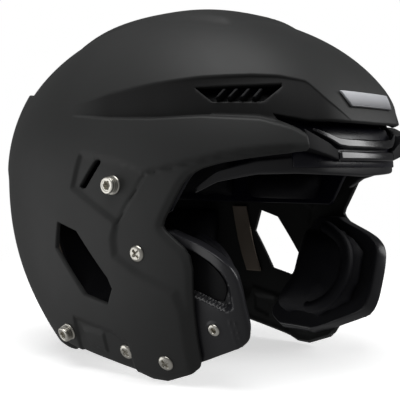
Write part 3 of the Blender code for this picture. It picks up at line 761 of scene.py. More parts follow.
# -------------------------------------------------------------------- trimmed skin
@dataclass
class Skin:
    """Sheet of even thickness over the hull, trimmed to a field and given a round rim.

    Points have two parameters: the azimuth, and s, which is the height up to
    the widest section and from there on grows with the rise over the dome.
    The kept region is shrunk by the rim radius, so the round rim ends on the
    outline itself.
    """

    azimuths: Array
    rows: Callable[[Array], List[Array]]
    keep: Callable[[Array], Array]
    depth: Callable[[Array], Array]
    wall: float
    radius: float = 0.001

    ARC = 0.2
    SNAP = 0.22 * MM
    CROWN = 0.985

    def base(self, alpha: Array, s: Array) -> Array:
        """Hull points from the two parameters."""
        rise = np.clip((s - HULL.widest_z) / self.ARC, 0.0, 1.0)
        low = HULL.at(alpha, np.minimum(s, HULL.widest_z))
        return np.where((s > HULL.widest_z)[..., None], HULL.at_rise(alpha, rise), low)

    @classmethod
    def station(cls, alpha: Array, z: Array) -> Array:
        """Second parameter of a point of the hull at height z."""
        high = HULL.widest_z + cls.ARC * HULL.rise_of(alpha, z)
        return np.where(z > HULL.widest_z, high, z)

    def grid(self) -> Tuple[Array, Array, Array]:
        """Parameters of the untrimmed grid with the crown point, and its triangles."""
        alpha = self.azimuths
        rows = np.stack([row + 0.0 * alpha for row in self.rows(alpha)])
        count = len(alpha)
        cells = quads(len(rows), count, wrap=True)
        tris = np.concatenate([cells[:, [0, 1, 2]], cells[:, [0, 2, 3]]])
        top = (len(rows) - 1) * count
        j = np.arange(count)
        fan = np.stack([top + j, top + (j + 1) % count, np.full(count, len(rows) * count)], -1)
        all_alpha = np.append(np.tile(alpha, len(rows)), 0.0)
        all_s = np.append(rows.ravel(), HULL.widest_z + self.ARC)
        return all_alpha, all_s, np.concatenate([tris, fan])

    def field_at(self, alpha: Array, s: Array) -> Array:
        """Trimming field less the rim radius."""
        return self.keep(self.base(alpha, s)) - self.radius

    def settle(self, alpha: Array, s: Array) -> Tuple[Array, Array]:
        """Move parameters onto the zero of the field by two Newton steps."""
        for _ in range(2):
            value = self.field_at(alpha, s)
            spread = np.linalg.norm(self.base(alpha + 5e-4, s) - self.base(alpha - 5e-4, s), axis=-1) / 1e-3
            slope_a = (self.field_at(alpha + 1e-3, s) - self.field_at(alpha - 1e-3, s)) / 2e-3 / spread
            slope_s = (self.field_at(alpha, s + 1e-4) - self.field_at(alpha, s - 1e-4)) / 2e-4
            steep = np.maximum(slope_a ** 2 + slope_s ** 2, 0.2)
            move = np.clip(-value / steep, -2e-3, 2e-3)
            alpha = alpha + move * slope_a / spread
            s = s + move * slope_s
        return alpha, s

    def trimmed(self) -> Tuple[Array, Array, Array]:
        """Clip the grid's triangles where the field is negative.

        A triangle that straddles zero is cut along the line between the
        interpolated zeros on two of its sides.
        """
        alpha, s, tris = self.grid()
        value = self.field_at(alpha, s)
        near = np.abs(value) < self.SNAP
        alpha[near], s[near] = self.settle(alpha[near], s[near])
        value = np.where(near, 0.0, value)
        inside = value >= 0.0
        count = inside[tris].sum(1)
        mixed = tris[(count == 1) | (count == 2)]
        single = inside[mixed].sum(1) == 1
        odd = np.where(single[:, None], inside[mixed], ~inside[mixed]).argmax(1)
        turned = mixed[np.arange(len(mixed))[:, None], (odd[:, None] + np.arange(3)) % 3]
        first = np.concatenate([turned[:, 0], turned[:, 0]])
        second = np.concatenate([turned[:, 1], turned[:, 2]])
        held = np.where(inside[first], first, second)
        lost = np.where(inside[first], second, first)
        keys, where = np.unique(held.astype(np.int64) * len(alpha) + lost, return_inverse=True)
        held_one, lost_one = keys // len(alpha), keys % len(alpha)
        share = value[held_one] / (value[held_one] - value[lost_one])
        step = (alpha[lost_one] - alpha[held_one] + math.pi) % (2 * math.pi) - math.pi
        new_alpha = alpha[held_one] + share * step
        new_s = s[held_one] + share * (s[lost_one] - s[held_one])
        new_alpha, new_s = self.settle(new_alpha, new_s)
        index = np.where(value[held_one] == 0.0, held_one, len(alpha) + np.arange(len(keys)))[where]
        ab, ac = index[:len(turned)], index[len(turned):]
        a, b, c = turned.T
        tips = np.stack([a, ab, ac], -1)[single]
        trunks = np.concatenate([np.stack([ab, b, c], -1)[~single], np.stack([ab, c, ac], -1)[~single]])
        tris = np.concatenate([tris[count == 3], tips, trunks])
        good = (tris[:, 0] != tris[:, 1]) & (tris[:, 1] != tris[:, 2]) & (tris[:, 2] != tris[:, 0])
        return np.append(alpha, new_alpha), np.append(s, new_s), tris[good]

    @staticmethod
    def largest(tris: Array, count: int) -> Array:
        """Triangles of the largest connected sheet, found by passing labels along."""
        label = np.arange(count)
        while True:
            least = label[tris].min(1)
            fresh = label.copy()
            np.minimum.at(fresh, tris.ravel(), np.repeat(least, 3))
            fresh = fresh[fresh]
            if np.array_equal(fresh, label):
                break
            label = fresh
        names, sizes = np.unique(label[tris[:, 0]], return_counts=True)
        return tris[label[tris[:, 0]] == names[sizes.argmax()]]

    @staticmethod
    def border(tris: Array) -> Array:
        """Directed border edges of a sheet: those without an opposite."""
        edges = np.concatenate([tris[:, [0, 1]], tris[:, [1, 2]], tris[:, [2, 0]]]).astype(np.int64)
        size = int(tris.max()) + 1
        forward = edges[:, 0] * size + edges[:, 1]
        backward = edges[:, 1] * size + edges[:, 0]
        return edges[~np.isin(forward, backward)]

    def solid(self) -> Solid:
        """Closed solid: outer face, inner face and the round rim between them."""
        alpha, s, tris = self.trimmed()
        tris = self.largest(tris, len(alpha))
        used, flat = np.unique(tris, return_inverse=True)
        tris = flat.reshape(tris.shape)
        base = self.base(alpha[used], s[used])
        normals = HULL.normals(base)
        outer = base - normals * self.depth(base)[:, None]
        inner = outer - normals * self.wall
        edges = self.border(tris)
        rim = np.unique(edges[:, 0])
        slot = np.zeros(len(used), np.int64)
        slot[rim] = np.arange(len(rim))
        way = np.zeros((len(used), 3))
        run = outer[edges[:, 1]] - outer[edges[:, 0]]
        run /= np.linalg.norm(run, axis=1, keepdims=True) + 1e-12
        np.add.at(way, edges[:, 0], run)
        np.add.at(way, edges[:, 1], run)
        out = np.cross(way[rim], normals[rim])
        out /= np.linalg.norm(out, axis=1, keepdims=True) + 1e-12
        turns = np.radians([30.0, 60.0, 90.0])
        profile = [(self.radius * math.sin(t), self.radius * (1 - math.cos(t))) for t in turns]
        profile += [(a, self.wall - b) for a, b in reversed(profile)]
        rings = [outer[rim] + out * a - normals[rim] * b for a, b in profile]
        count, wide = len(used), len(rim)
        verts = np.concatenate([outer, inner] + rings)
        strips = []
        rows = [rim] + [2 * count + k * wide + np.arange(wide) for k in range(len(rings))] + [rim + count]
        a, b = slot[edges[:, 0]], slot[edges[:, 1]]
        for upper, lower in zip(rows, rows[1:]):
            strips.append(np.stack([upper[b], upper[a], lower[a], lower[b]], -1))
        return Solid(verts, [tris, tris[:, ::-1] + count, np.concatenate(strips)])


EAR: Outline = ((28.5, 107.0), (9.5, 101.5), (-16.5, 71.0), (-19.0, 64.0), (-12.3, 52.5), (9.2, 57.0),
                (33.0, 88.5))
WINDOW: Outline = ((-20.0, 174.0), (30.0, 174.5), (59.0, 177.0), (76.0, 182.0), (75.0, 179.0),
                   (65.0, 170.5), (65.0, 140.0), (-20.0, 140.0))
VENT: Outline = ((47.5, 198.0), (43.6, 190.6), (31.0, 190.4), (25.5, 199.0))
SLOT_VENT: Outline = ((-14.6, 149.0), (-12.8, 150.6), (-9.2, 150.0), (6.0, 132.2), (4.4, 130.8),
                      (0.0, 131.6))
LINER_FRONT: Outline = ((-200.0, 168.0), (-140.0, 166.0), (-110.0, 158.0), (-88.0, 150.0), (-76.0, 136.0),
                        (-62.0, 114.0), (200.0, 114.0), (200.0, 20.0), (-200.0, 20.0))
SCREWS: Dict[str, Tuple[float, float]] = {"cheek_screw": (-44.1, 89.1), "low_mid_screw": (-17.5, 18.4),
                                          "low_front_screw": (-51.0, 15.4)}
SNAPS: Dict[str, Tuple[float, float]] = {"upper_snap": (-26.1, 133.6), "lower_snap": (38.0, 26.8)}


def seat(y: float, z: float, side: Side) -> Tuple[Array, Array]:
    """Point of the moulded surface on one side, and the hull's normal there.

    Args:
        y: drawing place along Y in millimetres.
        z: height in millimetres.
        side: side of the helmet.
    """
    point = HULL.beside(np.array([y * MM + HULL.shift_y]), np.array([z * MM]), side)
    return RELIEF.lift(point)[0], HULL.normals(point)[0]


class ShellOpenings:
    """Trimming fields of the outer shell and the liner, in metres, positive on material."""

    @staticmethod
    def side_view(p: Array) -> Array:
        """Y and Z of points in drawing millimetres."""
        return np.stack([(p[:, 1] - HULL.shift_y) / MM, p[:, 2] / MM], -1)

    @classmethod
    def shell(cls, p: Array) -> Array:
        """Field of the outer shell: the least of the distances to all its openings."""
        flat = cls.side_view(p)
        field_mm = -signed_distance(flat, FACE_EDGE)
        for opening in (EAR, SLOT_VENT):
            field_mm = np.minimum(field_mm, -signed_distance(flat, opening))
        window = -signed_distance(np.stack([np.abs(p[:, 0]), p[:, 2]], -1) / MM, WINDOW)
        field_mm = np.minimum(field_mm, np.where(p[:, 1] < -0.105, window, 50.0))
        alpha = np.degrees(np.arctan2(np.abs(p[:, 0]), HULL.centre_y - p[:, 1]))
        scale = np.array([1.95, 1.0])
        vent = -signed_distance(np.stack([alpha, p[:, 2] / MM], -1) * scale, np.asarray(VENT) * scale)
        field_mm = np.minimum(field_mm, vent)
        for stems, hole in ((SCREWS, 4.6), (SNAPS, 5.2)):
            for y, z in stems.values():
                centre, normal = seat(y, z, Side.LEFT)
                gap = np.stack([np.abs(p[:, 0]), p[:, 1], p[:, 2]], -1) - centre
                gap = gap - (gap @ normal)[:, None] * normal
                field_mm = np.minimum(field_mm, np.linalg.norm(gap, axis=1) / MM - hole)
        return field_mm * MM

    @classmethod
    def liner(cls, p: Array) -> Array:
        """Field of the liner shell."""
        return -signed_distance(cls.side_view(p), LINER_FRONT) * MM


@dataclass
class OuterShell:
    """Moulded outer shell with its openings, flutes, recesses and creases, and painted shade in the flutes.
    """

    wall: float = 3.6 * MM
    rim: float = 1.1 * MM

    @staticmethod
    def azimuths() -> Array:
        """Columns: close together at the sides, wider apart in front and behind."""
        rear = np.radians(np.arange(112.0, 180.0, 1.4))
        side = np.radians(np.arange(40.0, 112.0, 0.62))
        front = np.radians(np.arange(0.9, 40.0, 0.9))
        half = np.concatenate([front, side, rear])
        return np.concatenate([-half[::-1], [0.0], half, [math.pi]])

    @staticmethod
    def rows(alpha: Array) -> List[Array]:
        """Rows: even below, close together at the flute's edge, even over the dome."""
        rows = [np.full(len(alpha), z) for z in np.arange(-3.0, 139.0, 1.75) * MM]
        edge = RELIEF.edge(alpha)
        lip = edge - 2.2 * MM
        ledge = np.maximum(edge - RELIEF.table(alpha, RELIEF.widths) * 1.05, HULL.widest_z + 3.0 * MM)
        for t in np.linspace(0, 1, 16)[:-1]:
            rows.append(Skin.station(alpha, HULL.widest_z + (ledge - HULL.widest_z) * t))
        rows += [Skin.station(alpha, ledge + (lip - ledge) * t ** 1.4) for t in np.linspace(0.0, 1.0, 18)]
        for step in (-1.5, -1.0, -0.65, -0.3, 0.0, 0.3, 0.65, 1.0, 1.5):
            rows.append(Skin.station(alpha, edge + step * MM))
        start = Skin.station(alpha, edge + 2.4 * MM)
        end = HULL.widest_z + Skin.ARC * Skin.CROWN
        return rows + [start + (end - start) * t for t in np.linspace(0.0, 1.0, 40)]

    def build(self) -> bpy.types.Object:
        """Build the shell in place of its CAD node."""
        skin = Skin(self.azimuths(), self.rows, ShellOpenings.shell, lambda p: -RELIEF.height(p),
                    self.wall, self.rim)
        solid = skin.solid().outward()
        thing = add("shell_skin", solid, Look.SHELL, "helmet", 50.0)
        # The flute's painted shade is stored per point for the shell finish to darken by.
        shade = thing.data.attributes.new("shade", "FLOAT", "POINT")
        shade.data.foreach_set("value", self.shade(solid.verts).astype(np.float32))
        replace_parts(thing, "outer_shell")
        return thing

    @staticmethod
    def shade(p: Array) -> Array:
        """Painted shade of the flute: 1 from its upper edge down to the ledge, less where it is shallow."""
        alpha = np.arctan2(np.abs(p[:, 0]), HULL.centre_y - p[:, 1])
        below = RELIEF.edge(alpha) - p[:, 2]
        deep = RELIEF.table(alpha, RELIEF.depths)
        share = below / RELIEF.table(alpha, RELIEF.widths)
        sunk = 0.35 * deep / RELIEF.table(alpha, RELIEF.widths) * np.clip(share, 0.0, 1.0)
        band = smooth(below / (1.0 * MM)) * (1.0 - smooth((share - sunk - 0.76) / 0.12))
        return band * smooth(deep / (7.0 * MM))


@dataclass
class LinerShell:
    """Smooth inner shell and the column band that carries it."""

    outer: float = 16.5 * MM
    wall: float = 3.0 * MM

    @staticmethod
    def rows(alpha: Array) -> List[Array]:
        """Even rows from below the lower edge to the crown."""
        low = [np.full(len(alpha), z) for z in np.arange(108.0, 139.0, 3.0) * MM]
        end = HULL.widest_z + Skin.ARC * Skin.CROWN
        rise = end - HULL.widest_z
        return low + [HULL.widest_z + rise * t + 0.0 * alpha for t in np.linspace(0.0, 1.0, 44)]

    def build(self) -> bpy.types.Object:
        """Build the liner in place of its CAD node and dress the columns."""
        azimuths = np.radians(np.arange(-180.0, 180.0, 1.8))
        skin = Skin(azimuths, self.rows, ShellOpenings.liner, lambda p: np.full(len(p), self.outer),
                    self.wall)
        thing = add("liner_skin", skin.solid(), Look.LINER, "helmet", 50.0)
        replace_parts(thing, "liner_shell")
        for side in Side:
            dress(side.named("column_band"), Look.LINER)
        return thing


def dress(node: str, look: Look) -> bpy.types.Object:
    """Give a carried-over CAD node its procedural finish."""
    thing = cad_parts[node]
    for place in thing.material_slots:
        place.material = look.material
    return thing


# -------------------------------------------------------------------------- brow
@dataclass
class Brow:
    """Channel, bumper bars, wing tips, inner rim and badge under and on the brow plate."""

    def channel(self) -> None:
        """Wall behind the bars."""
        surface = belt((-25.0, 25.0), curve((0, 25), (146, 146)), curve((0, 10, 25), (178, 178, 177)))
        solid = Slab(surface, 0.13, 0.031, 13.9 * MM, 16.0 * MM, 0.8 * MM, 40, 12).solid()
        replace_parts(add("channel_wall", solid, Look.LINER, "helmet"), "brow_channel")

    def upper_bar(self) -> None:
        """Upper bumper with its arms that rise towards the wings."""
        stations = (0, 9, 12, 15, 19.5)
        low = curve(stations, (159.6, 159.8, 160.8, 165, 171.0))
        high = curve(stations, (166.2, 166.2, 166.9, 169.6, 173.2))
        surface = belt((-19.5, 19.5), low, high)
        solid = Slab(surface, 0.105, 0.007, 8.6 * MM, 13.6 * MM, 1.3 * MM, 90, 8).solid()
        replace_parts(add("upper_bar", solid, Look.GLOSS, "helmet"), "bumper_upper")

    def lower_bar(self) -> None:
        """Lower bumper."""
        surface = belt((-12.2, 12.2), curve((0, 90), (150.6, 150.6)), curve((0, 90), (157.4, 157.4)))
        solid = Slab(surface, 0.068, 0.007, 9.2 * MM, 13.6 * MM, 1.6 * MM, 70, 8).solid()
        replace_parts(add("lower_bar", solid, Look.GLOSS, "helmet"), "bumper_lower")

    def wings(self) -> None:
        """Ends of the shell beside the bars, in the dark vent finish as painted shade."""
        for side in Side:
            ends = (12.6 * side.value, 22.9 * side.value)
            low = curve((12.6, 18.0, 22.9), (151.0, 154.5, 157.4))
            high = curve((12.6, 13.4, 16.0, 18.6, 22.9), (158.2, 158.8, 162.6, 165.2, 170.0))
            surface = belt(ends, low, high)
            solid = Slab(surface, 0.0275, 0.009, 3.0 * MM, 11.6 * MM, 0.6 * MM, 24, 8, self.slant).solid()
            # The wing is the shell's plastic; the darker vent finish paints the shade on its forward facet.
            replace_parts(add(side.named("wing"), solid, Look.VENT, "helmet"), side.named("wing_tip"))

    @staticmethod
    def slant(u: Array, v: Array) -> Array:
        """Lift of the wing's facet, which sinks steadily towards the bars."""
        return -6.8 * MM * np.clip(1.0 - u, 0.0, 1.0)

    def inner_rim(self) -> None:
        """Satin band round the top of the face opening."""
        stations = (0, 24, 34, 44, 50)
        low = curve(stations, (139, 141.5, 141, 136, 128.5))
        high = curve(stations, (148.8, 155, 152, 144, 131.5))
        surface = belt((-50.0, 50.0), low, high)
        solid = Slab(surface, 0.25, 0.013, 15 * MM, 19.6 * MM, 2.0 * MM, 120, 10).solid()
        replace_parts(add("inner_rim", solid, Look.POD, "helmet"), "brow_rim")

    def badge(self) -> None:
        """Plain plate with a raised border."""
        def surface(u: Array, v: Array) -> Array:
            """Hull point: a band that widens upwards."""
            z = (183.8 + 10.1 * v) * MM
            x = (2.0 * u - 1.0) * (27.0 * MM + (z - 188.8 * MM) * 0.5)
            return HULL.at(np.arctan2(x, HULL.front * 0.90), z)

        def border(u: Array, v: Array) -> Array:
            """Lift of the border."""
            edge = np.minimum(np.minimum(u, 1.0 - u) * 54.0, np.minimum(v, 1.0 - v) * 10.1)
            return 0.35 * MM * (1.0 - smooth((edge - 0.9) / 0.5))

        solid = Slab(surface, 0.054, 0.0101, -1.6 * MM, -0.3 * MM, 0.6 * MM, 70, 28, border).solid()
        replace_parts(add("badge_plate", solid, Look.BADGE, "helmet", 60.0), "brow_badge")

    def build(self) -> None:
        """Build every piece of the brow."""
        self.channel()
        self.upper_bar()
        self.lower_bar()
        self.wings()
        self.inner_rim()
        self.badge()


@dataclass
class Vent:
    """Louvre in the flute: a plate behind the opening and slanted ribs across it."""

    side: Side
    ribs: int = 5

    def build(self) -> None:
        """Build the louvre in place of its CAD node."""
        name = self.side.named("side_vent")
        ends = (46.6 * self.side.value, 27.4 * self.side.value)
        low = curve((27.4, 31.5, 43.2, 46.6), (195.6, 191.2, 191.4, 196.0))
        high = curve((27.4, 46.6), (198.2, 197.2))
        solid = Slab(belt(ends, low, high), 0.037, 0.006, 11.6 * MM, 13.6 * MM, 0.6 * MM, 40, 10).solid()
        for i in range(self.ribs - 1):
            middle = 41.0 - 3.0 * i
            solid = solid.joined(self.rib(middle))
        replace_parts(add(self.side.named("louvre"), solid, Look.VENT, "helmet"), name)

    def rib(self, middle: float) -> Solid:
        """One slanted rib at an azimuth in degrees."""
        sign = self.side.value

        def surface(u: Array, v: Array) -> Array:
            """Hull point: a narrow band that leans with height."""
            alpha = np.radians(sign * (middle + (0.5 - u) * 0.8 + (0.5 - v) * 2.2))
            return HULL.at(alpha, (191.4 + 5.8 * v) * MM)

        return Slab(surface, 0.0018, 0.0065, 4.6 * MM, 11.9 * MM, 0.5 * MM, 2, 6).solid()


# --------------------------------------------------------------------- jaw pods
@dataclass
class JawPod:
    """Plastic pod ahead of the shell's edge, its threaded insert and a dark sheet in its pocket as painted
    shade.
    """

    side: Side
    heights: Tuple[float, ...] = (7.0, 10.0, 14.0, 20.0, 25.0, 30.0, 40.0, 52.0, 66.0, 78.0, 86.0, 93.0,
                                  99.0, 104.0)
    front: Tuple[float, ...] = (-50.0, -64.0, -76.0, -89.0, -103.0, -113.0, -116.5, -116.5, -116.5,
                                -115.0, -109.0, -97.0, -81.0, -65.0)
    rear: Tuple[float, ...] = (-26.0, -16.0, -9.0, -8.0, -10.5, -14.0, -24.0, -30.0, -32.0, -34.0, -35.0,
                               -36.0, -40.0, -50.0)
    pocket: Outline = ((-52.0, 97.0), (-66.0, 97.0), (-84.0, 90.5), (-97.0, 84.0), (-105.5, 77.0),
                       (-108.5, 70.0), (-108.0, 55.0), (-103.0, 53.0), (-52.0, 72.0))
    insert: Tuple[float, float] = (-90.5, 39.0)

    def relief(self, surface: Callable[[Array, Array], Array]) -> Callable[[Array, Array], Array]:
        """Pocket and insert seat pressed into the pod's outer face, and two ribs raised from it."""
        def bulge(u: Array, v: Array) -> Array:
            """Lift at the shares u and v, negative where the face is pressed in."""
            p = surface(u, v)
            flat = np.stack([(p[..., 1] - HULL.shift_y) / MM, p[..., 2] / MM], -1).reshape(-1, 2)
            inside = signed_distance(flat, self.pocket).reshape(u.shape)
            height = flat[:, 1].reshape(u.shape)
            depth = 6.5 * smooth(inside / 2.4 + 0.4)
            for rib in (-104.8, -108.3):
                across = np.abs(flat[:, 0].reshape(u.shape) - rib)
                tall = smooth((height - 25.0) / 2.0) * smooth((48.0 - height) / 2.0)
                depth = depth - 0.7 * (1.0 - smooth(across / 0.9)) * tall
            gap = np.hypot(flat[:, 0] - self.insert[0], flat[:, 1] - self.insert[1]).reshape(u.shape)
            depth = depth - 0.5 * smooth((6.0 - gap) / 1.0)
            depth = depth + 9.0 * smooth((3.3 - gap) / 0.7)
            return -depth * MM
        return bulge

    def build(self) -> None:
        """Build the pod, the painted shade sheet in its pocket and its insert."""
        surface = flank(self.side, self.heights, self.rear, self.front)
        slab = Slab(surface, 0.09, 0.094, 7 * MM, 17 * MM, 2.6 * MM, 72, 96, self.relief(surface))
        pod = add(self.side.named("pod"), slab.solid(), Look.POD, "helmet", 45.0)
        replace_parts(pod, self.side.named("jaw_pod"))
        self.pocket_shade_sheet()
        point, normal = self.insert_seat()
        profile = [(3.1, -14.0), (3.1, -6.9), (4.1, -6.7), (4.2, -6.4), (4.0, -5.9), (3.5, -5.6),
                   (2.1, -5.6), (1.9, -5.9), (1.9, -10.0)]
        ring = Turned(profile, 40).solid(point, normal)
        insert = add(self.side.named("insert"), ring, Look.STEEL, "helmet")
        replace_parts(insert, self.side.named("mask_insert"))

    def insert_seat(self) -> Tuple[Array, Array]:
        """Place and direction of the insert, square to the pod's outer face."""
        step = 0.0005
        y = self.insert[0] * MM + HULL.shift_y + step * np.array([1.0, -1.0, 0.0, 0.0, 0.0])
        z = self.insert[1] * MM + step * np.array([0.0, 0.0, 1.0, -1.0, 0.0])
        p = HULL.beside(y, z, self.side)
        way = self.side.value * np.cross(p[0] - p[1], p[2] - p[3])
        way = way / np.linalg.norm(way)
        return HULL.out(p, np.full(5, -7.0 * MM))[4] + way * 7.0 * MM, way

    def pocket_shade_sheet(self) -> None:
        """Dark sheet lying in the pocket as painted shade, higher at its upper edge."""
        heights = (57.0, 62.0, 69.0, 76.0, 82.0, 87.0, 91.5)
        surface = flank(self.side, heights, (-54, -54, -54, -54, -54, -54, -54),
                        (-101, -105, -106, -102, -95, -86, -72), 3.0)
        slab = Slab(surface, 0.05, 0.037, 12.6 * MM, 13.6 * MM, 0.4 * MM, 30, 20)
        # The dark sheet paints the shade in the pocket; the pod has no dark part there.
        add(self.side.named("pod_pocket_shade"), slab.solid(), Look.VENT, "helmet")


# --------------------------------------------------------------------- fasteners
@dataclass
class Turned:
    """Solid of revolution with an optional recess pressed into its end face.

    The profile holds (radius, height) pairs in millimetres from the far end
    to the face; the last ring is filled by rings 0.25 mm apart, each point
    lowered by the recess.
    """

    profile: Sequence[Tuple[float, float]]
    steps: int = 48
    recess: Optional[Callable[[Array, Array], Array]] = None

    def solid(self, place: Array, way: Array) -> Solid:
        """Closed solid at a place with its axis along a direction."""
        rings = [(0.0, self.profile[0][1])] + list(self.profile)
        radius, height = rings[-1]
        fill = max(2, int(radius / 0.25))
        rings += [(radius * (1.0 - k / fill), height) for k in range(1, fill)]
        profile = np.array(rings[1:])
        theta = np.linspace(0.0, 2.0 * math.pi, self.steps, endpoint=False)
        x = profile[:, :1] * np.cos(theta)
        y = profile[:, :1] * np.sin(theta)
        z = profile[:, 1:] + 0.0 * x
        if self.recess:
            on_face = np.arange(len(profile)) >= len(self.profile) - 1
            z = z - np.where(on_face[:, None], self.recess(x, y), 0.0)
        centre = height - (float(self.recess(np.zeros(1), np.zeros(1))[0]) if self.recess else 0.0)
        ends = [[0, 0, rings[0][1]], [0, 0, centre]]
        points = np.concatenate([np.stack([x, y, z], -1).reshape(-1, 3), ends])
        count, last = len(profile), len(points) - 2
        j = np.arange(self.steps)
        k = (j + 1) % self.steps
        foot = np.stack([np.full(self.steps, last), k, j], -1)
        brim = (count - 1) * self.steps
        top = np.stack([brim + j, brim + k, np.full(self.steps, last + 1)], -1)
        across = np.cross([0.0, 0.0, 1.0], way)
        across /= np.linalg.norm(across)
        basis = np.stack([across, np.cross(way, across), way])
        return Solid(place + points * MM @ basis, [quads(count, self.steps, wrap=True), foot, top])


def cross_recess(x: Array, y: Array) -> Array:
    """Depth of a Phillips recess: two crossed slots that run out towards their ends."""
    reach = np.hypot(x, y)
    turned = (x * 0.8 + y * 0.6, y * 0.8 - x * 0.6)
    slot = np.minimum(np.abs(turned[0]), np.abs(turned[1]))
    return 1.9 * smooth((0.95 - slot) / 0.35) * smooth((3.4 - reach) / 0.9)


def star_recess(x: Array, y: Array) -> Array:
    """Depth of a six-lobed recess: a radius that waves six times round."""
    lobes = 2.9 + 0.3 * np.cos(6.0 * np.arctan2(y, x))
    return 3.4 * smooth((lobes - np.hypot(x, y)) / 0.35)


@dataclass
class Fasteners:
    """Screws, chin-strap studs and their nuts on one side."""

    side: Side
    screw: Sequence[Tuple[float, float]] = ((2.2, -10.0), (2.2, -0.9), (5.3, -0.9), (5.55, -0.6),
                                            (5.6, 0.0), (5.45, 0.45), (5.0, 0.95), (4.3, 1.3),
                                            (3.7, 1.45), (3.5, 1.48))
    stud: Sequence[Tuple[float, float]] = ((2.2, -7.6), (2.2, -0.8), (6.2, -0.8), (6.4, -0.4), (6.4, 0.4),
                                           (6.1, 0.8), (5.3, 1.1), (5.3, 1.5), (5.9, 1.8), (5.9, 2.3),
                                           (5.2, 2.6), (5.2, 3.0), (5.8, 3.3), (5.8, 3.8), (5.1, 4.1),
                                           (5.1, 4.5), (5.6, 4.8), (5.6, 5.4), (5.3, 5.9), (4.7, 6.1),
                                           (4.1, 6.1), (3.9, 6.0))
    nut: Sequence[Tuple[float, float]] = ((5.6, -9.2), (5.9, -9.0), (6.0, -8.7), (6.0, -5.5), (5.8, -5.2),
                                          (2.6, -5.2))

    def build(self) -> None:
        """Build the fasteners in place of their CAD nodes."""
        for stem, place in SCREWS.items():
            point, normal = seat(*place, self.side)
            solid = Turned(self.screw, 64, cross_recess).solid(point, normal)
            name = self.side.named(stem)
            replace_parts(add(name + "_head", solid, Look.STEEL, "helmet"), name)
        for stem, place in SNAPS.items():
            point, normal = seat(*place, self.side)
            name = self.side.named(stem)
            solid = Turned(self.stud, 64, star_recess).solid(point, normal)
            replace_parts(add(name + "_stud", solid, Look.STEEL, "helmet"), name)
            nut_name = self.side.named(stem + "_nut")
            nut = Turned(self.nut, 40).solid(point, normal)
            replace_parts(add(nut_name + "_ring", nut, Look.STEEL, "helmet"), nut_name)


# ---------------------------------------------------------------------- cushions
@dataclass
class Cushion:
    """Covered foam pad: the CAD solid remeshed, inflated a little and smoothed."""

    node: str
    body: str
    fill: float = 0.75
    cap: float = 5.0 * MM
    pressure: float = 4.0
    mirror: bool = False

    FRAMES = 20
    VOXEL = 5.0 * MM
    DRAWN_IN = 0.985

    def plain(self) -> bpy.types.Object:
        """Welded copy of the CAD mesh, drawn in slightly and remeshed evenly."""
        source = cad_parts[self.node]
        mesh = source.data.copy()
        mesh.transform(source.matrix_world)
        thing = bpy.data.objects.new(self.node + "_cover", mesh)
        bpy.context.scene.collection.objects.link(thing)
        verts = coordinates(mesh)
        middle = (verts.min(0) + verts.max(0)) / 2
        put_coordinates(mesh, middle + (verts - middle) * self.DRAWN_IN)
        weld = thing.modifiers.new("weld", "WELD")
        weld.merge_threshold = 1e-5
        remesh = thing.modifiers.new("remesh", "REMESH")
        remesh.mode = "VOXEL"
        remesh.voxel_size = self.VOXEL
        self.apply(thing)
        return thing

    @staticmethod
    def apply(thing: bpy.types.Object) -> None:
        """Bake the object's modifiers into its mesh."""
        graph = bpy.context.evaluated_depsgraph_get()
        made = bpy.data.meshes.new_from_object(thing.evaluated_get(graph))
        thing.modifiers.clear()
        thing.data = made

    def inflate(self, thing: bpy.types.Object) -> None:
        """Cloth pressure for a few frames, with each point's travel capped."""
        start = coordinates(thing.data)
        cloth = thing.modifiers.new("cloth", "CLOTH")
        cloth.settings.use_pressure = True
        cloth.settings.uniform_pressure_force = self.pressure
        cloth.settings.tension_stiffness = 40.0
        cloth.settings.compression_stiffness = 20.0
        cloth.settings.bending_stiffness = 4.0
        cloth.settings.effector_weights.gravity = 0.0
        scene = bpy.context.scene
        for step in range(1, self.FRAMES + 1):
            scene.frame_set(step)
        self.apply(thing)
        scene.frame_set(1)
        end = coordinates(thing.data)
        travel = end - start
        reach = np.linalg.norm(travel, axis=1, keepdims=True)
        put_coordinates(thing.data, start + travel * np.minimum(1.0, self.cap / np.maximum(reach, 1e-9)))

    def limit(self, thing: bpy.types.Object) -> None:
        """Keep the cover from swelling into the shell: points stay inside the node's box."""
        low, high = (np.array(corner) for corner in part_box(self.node))
        put_coordinates(thing.data, np.clip(coordinates(thing.data), low, high))

    def build(self) -> bpy.types.Object:
        """Build the cover in place of its CAD node."""
        thing = self.plain()
        self.inflate(thing)
        soften = thing.modifiers.new("soften", "SMOOTH")
        soften.factor = 0.5
        soften.iterations = 4
        finer = thing.modifiers.new("finer", "SUBSURF")
        finer.levels = 1
        finer.render_levels = 1
        self.apply(thing)
        self.limit(thing)
        thing.data.materials.clear()
        thing.data.materials.append(Look.CUSHION.material)
        thing.data.polygons.foreach_set("use_smooth", np.ones(len(thing.data.polygons), bool))
        self.finish(thing, self.node, self.body)
        if self.mirror:
            self.twin(thing)
        return thing

    def finish(self, thing: bpy.types.Object, node: str, body: str) -> None:
        """Let the cover ride on its body in place of its CAD node."""
        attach(thing, body)
        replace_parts(thing, node)

    def twin(self, thing: bpy.types.Object) -> None:
        """Mirror image of the cover for the other side."""
        node = self.node.replace("_left", "_right")
        body = self.body.replace("_left", "_right")
        mesh = thing.data.copy()
        put_coordinates(mesh, coordinates(mesh) * np.array([-1.0, 1.0, 1.0]))
        mesh.flip_normals()
        other = bpy.data.objects.new(node + "_cover", mesh)
        bpy.context.scene.collection.objects.link(other)
        self.finish(other, node, body)


def coordinates(mesh: bpy.types.Mesh) -> Array:
    """Vertex positions of a mesh as an array."""
    flat = np.empty(len(mesh.vertices) * 3)
    mesh.vertices.foreach_get("co", flat)
    return flat.reshape(-1, 3)


def put_coordinates(mesh: bpy.types.Mesh, verts: Array) -> None:
    """Write vertex positions back to a mesh."""
    mesh.vertices.foreach_set("co", np.ascontiguousarray(verts).ravel())
    mesh.update()


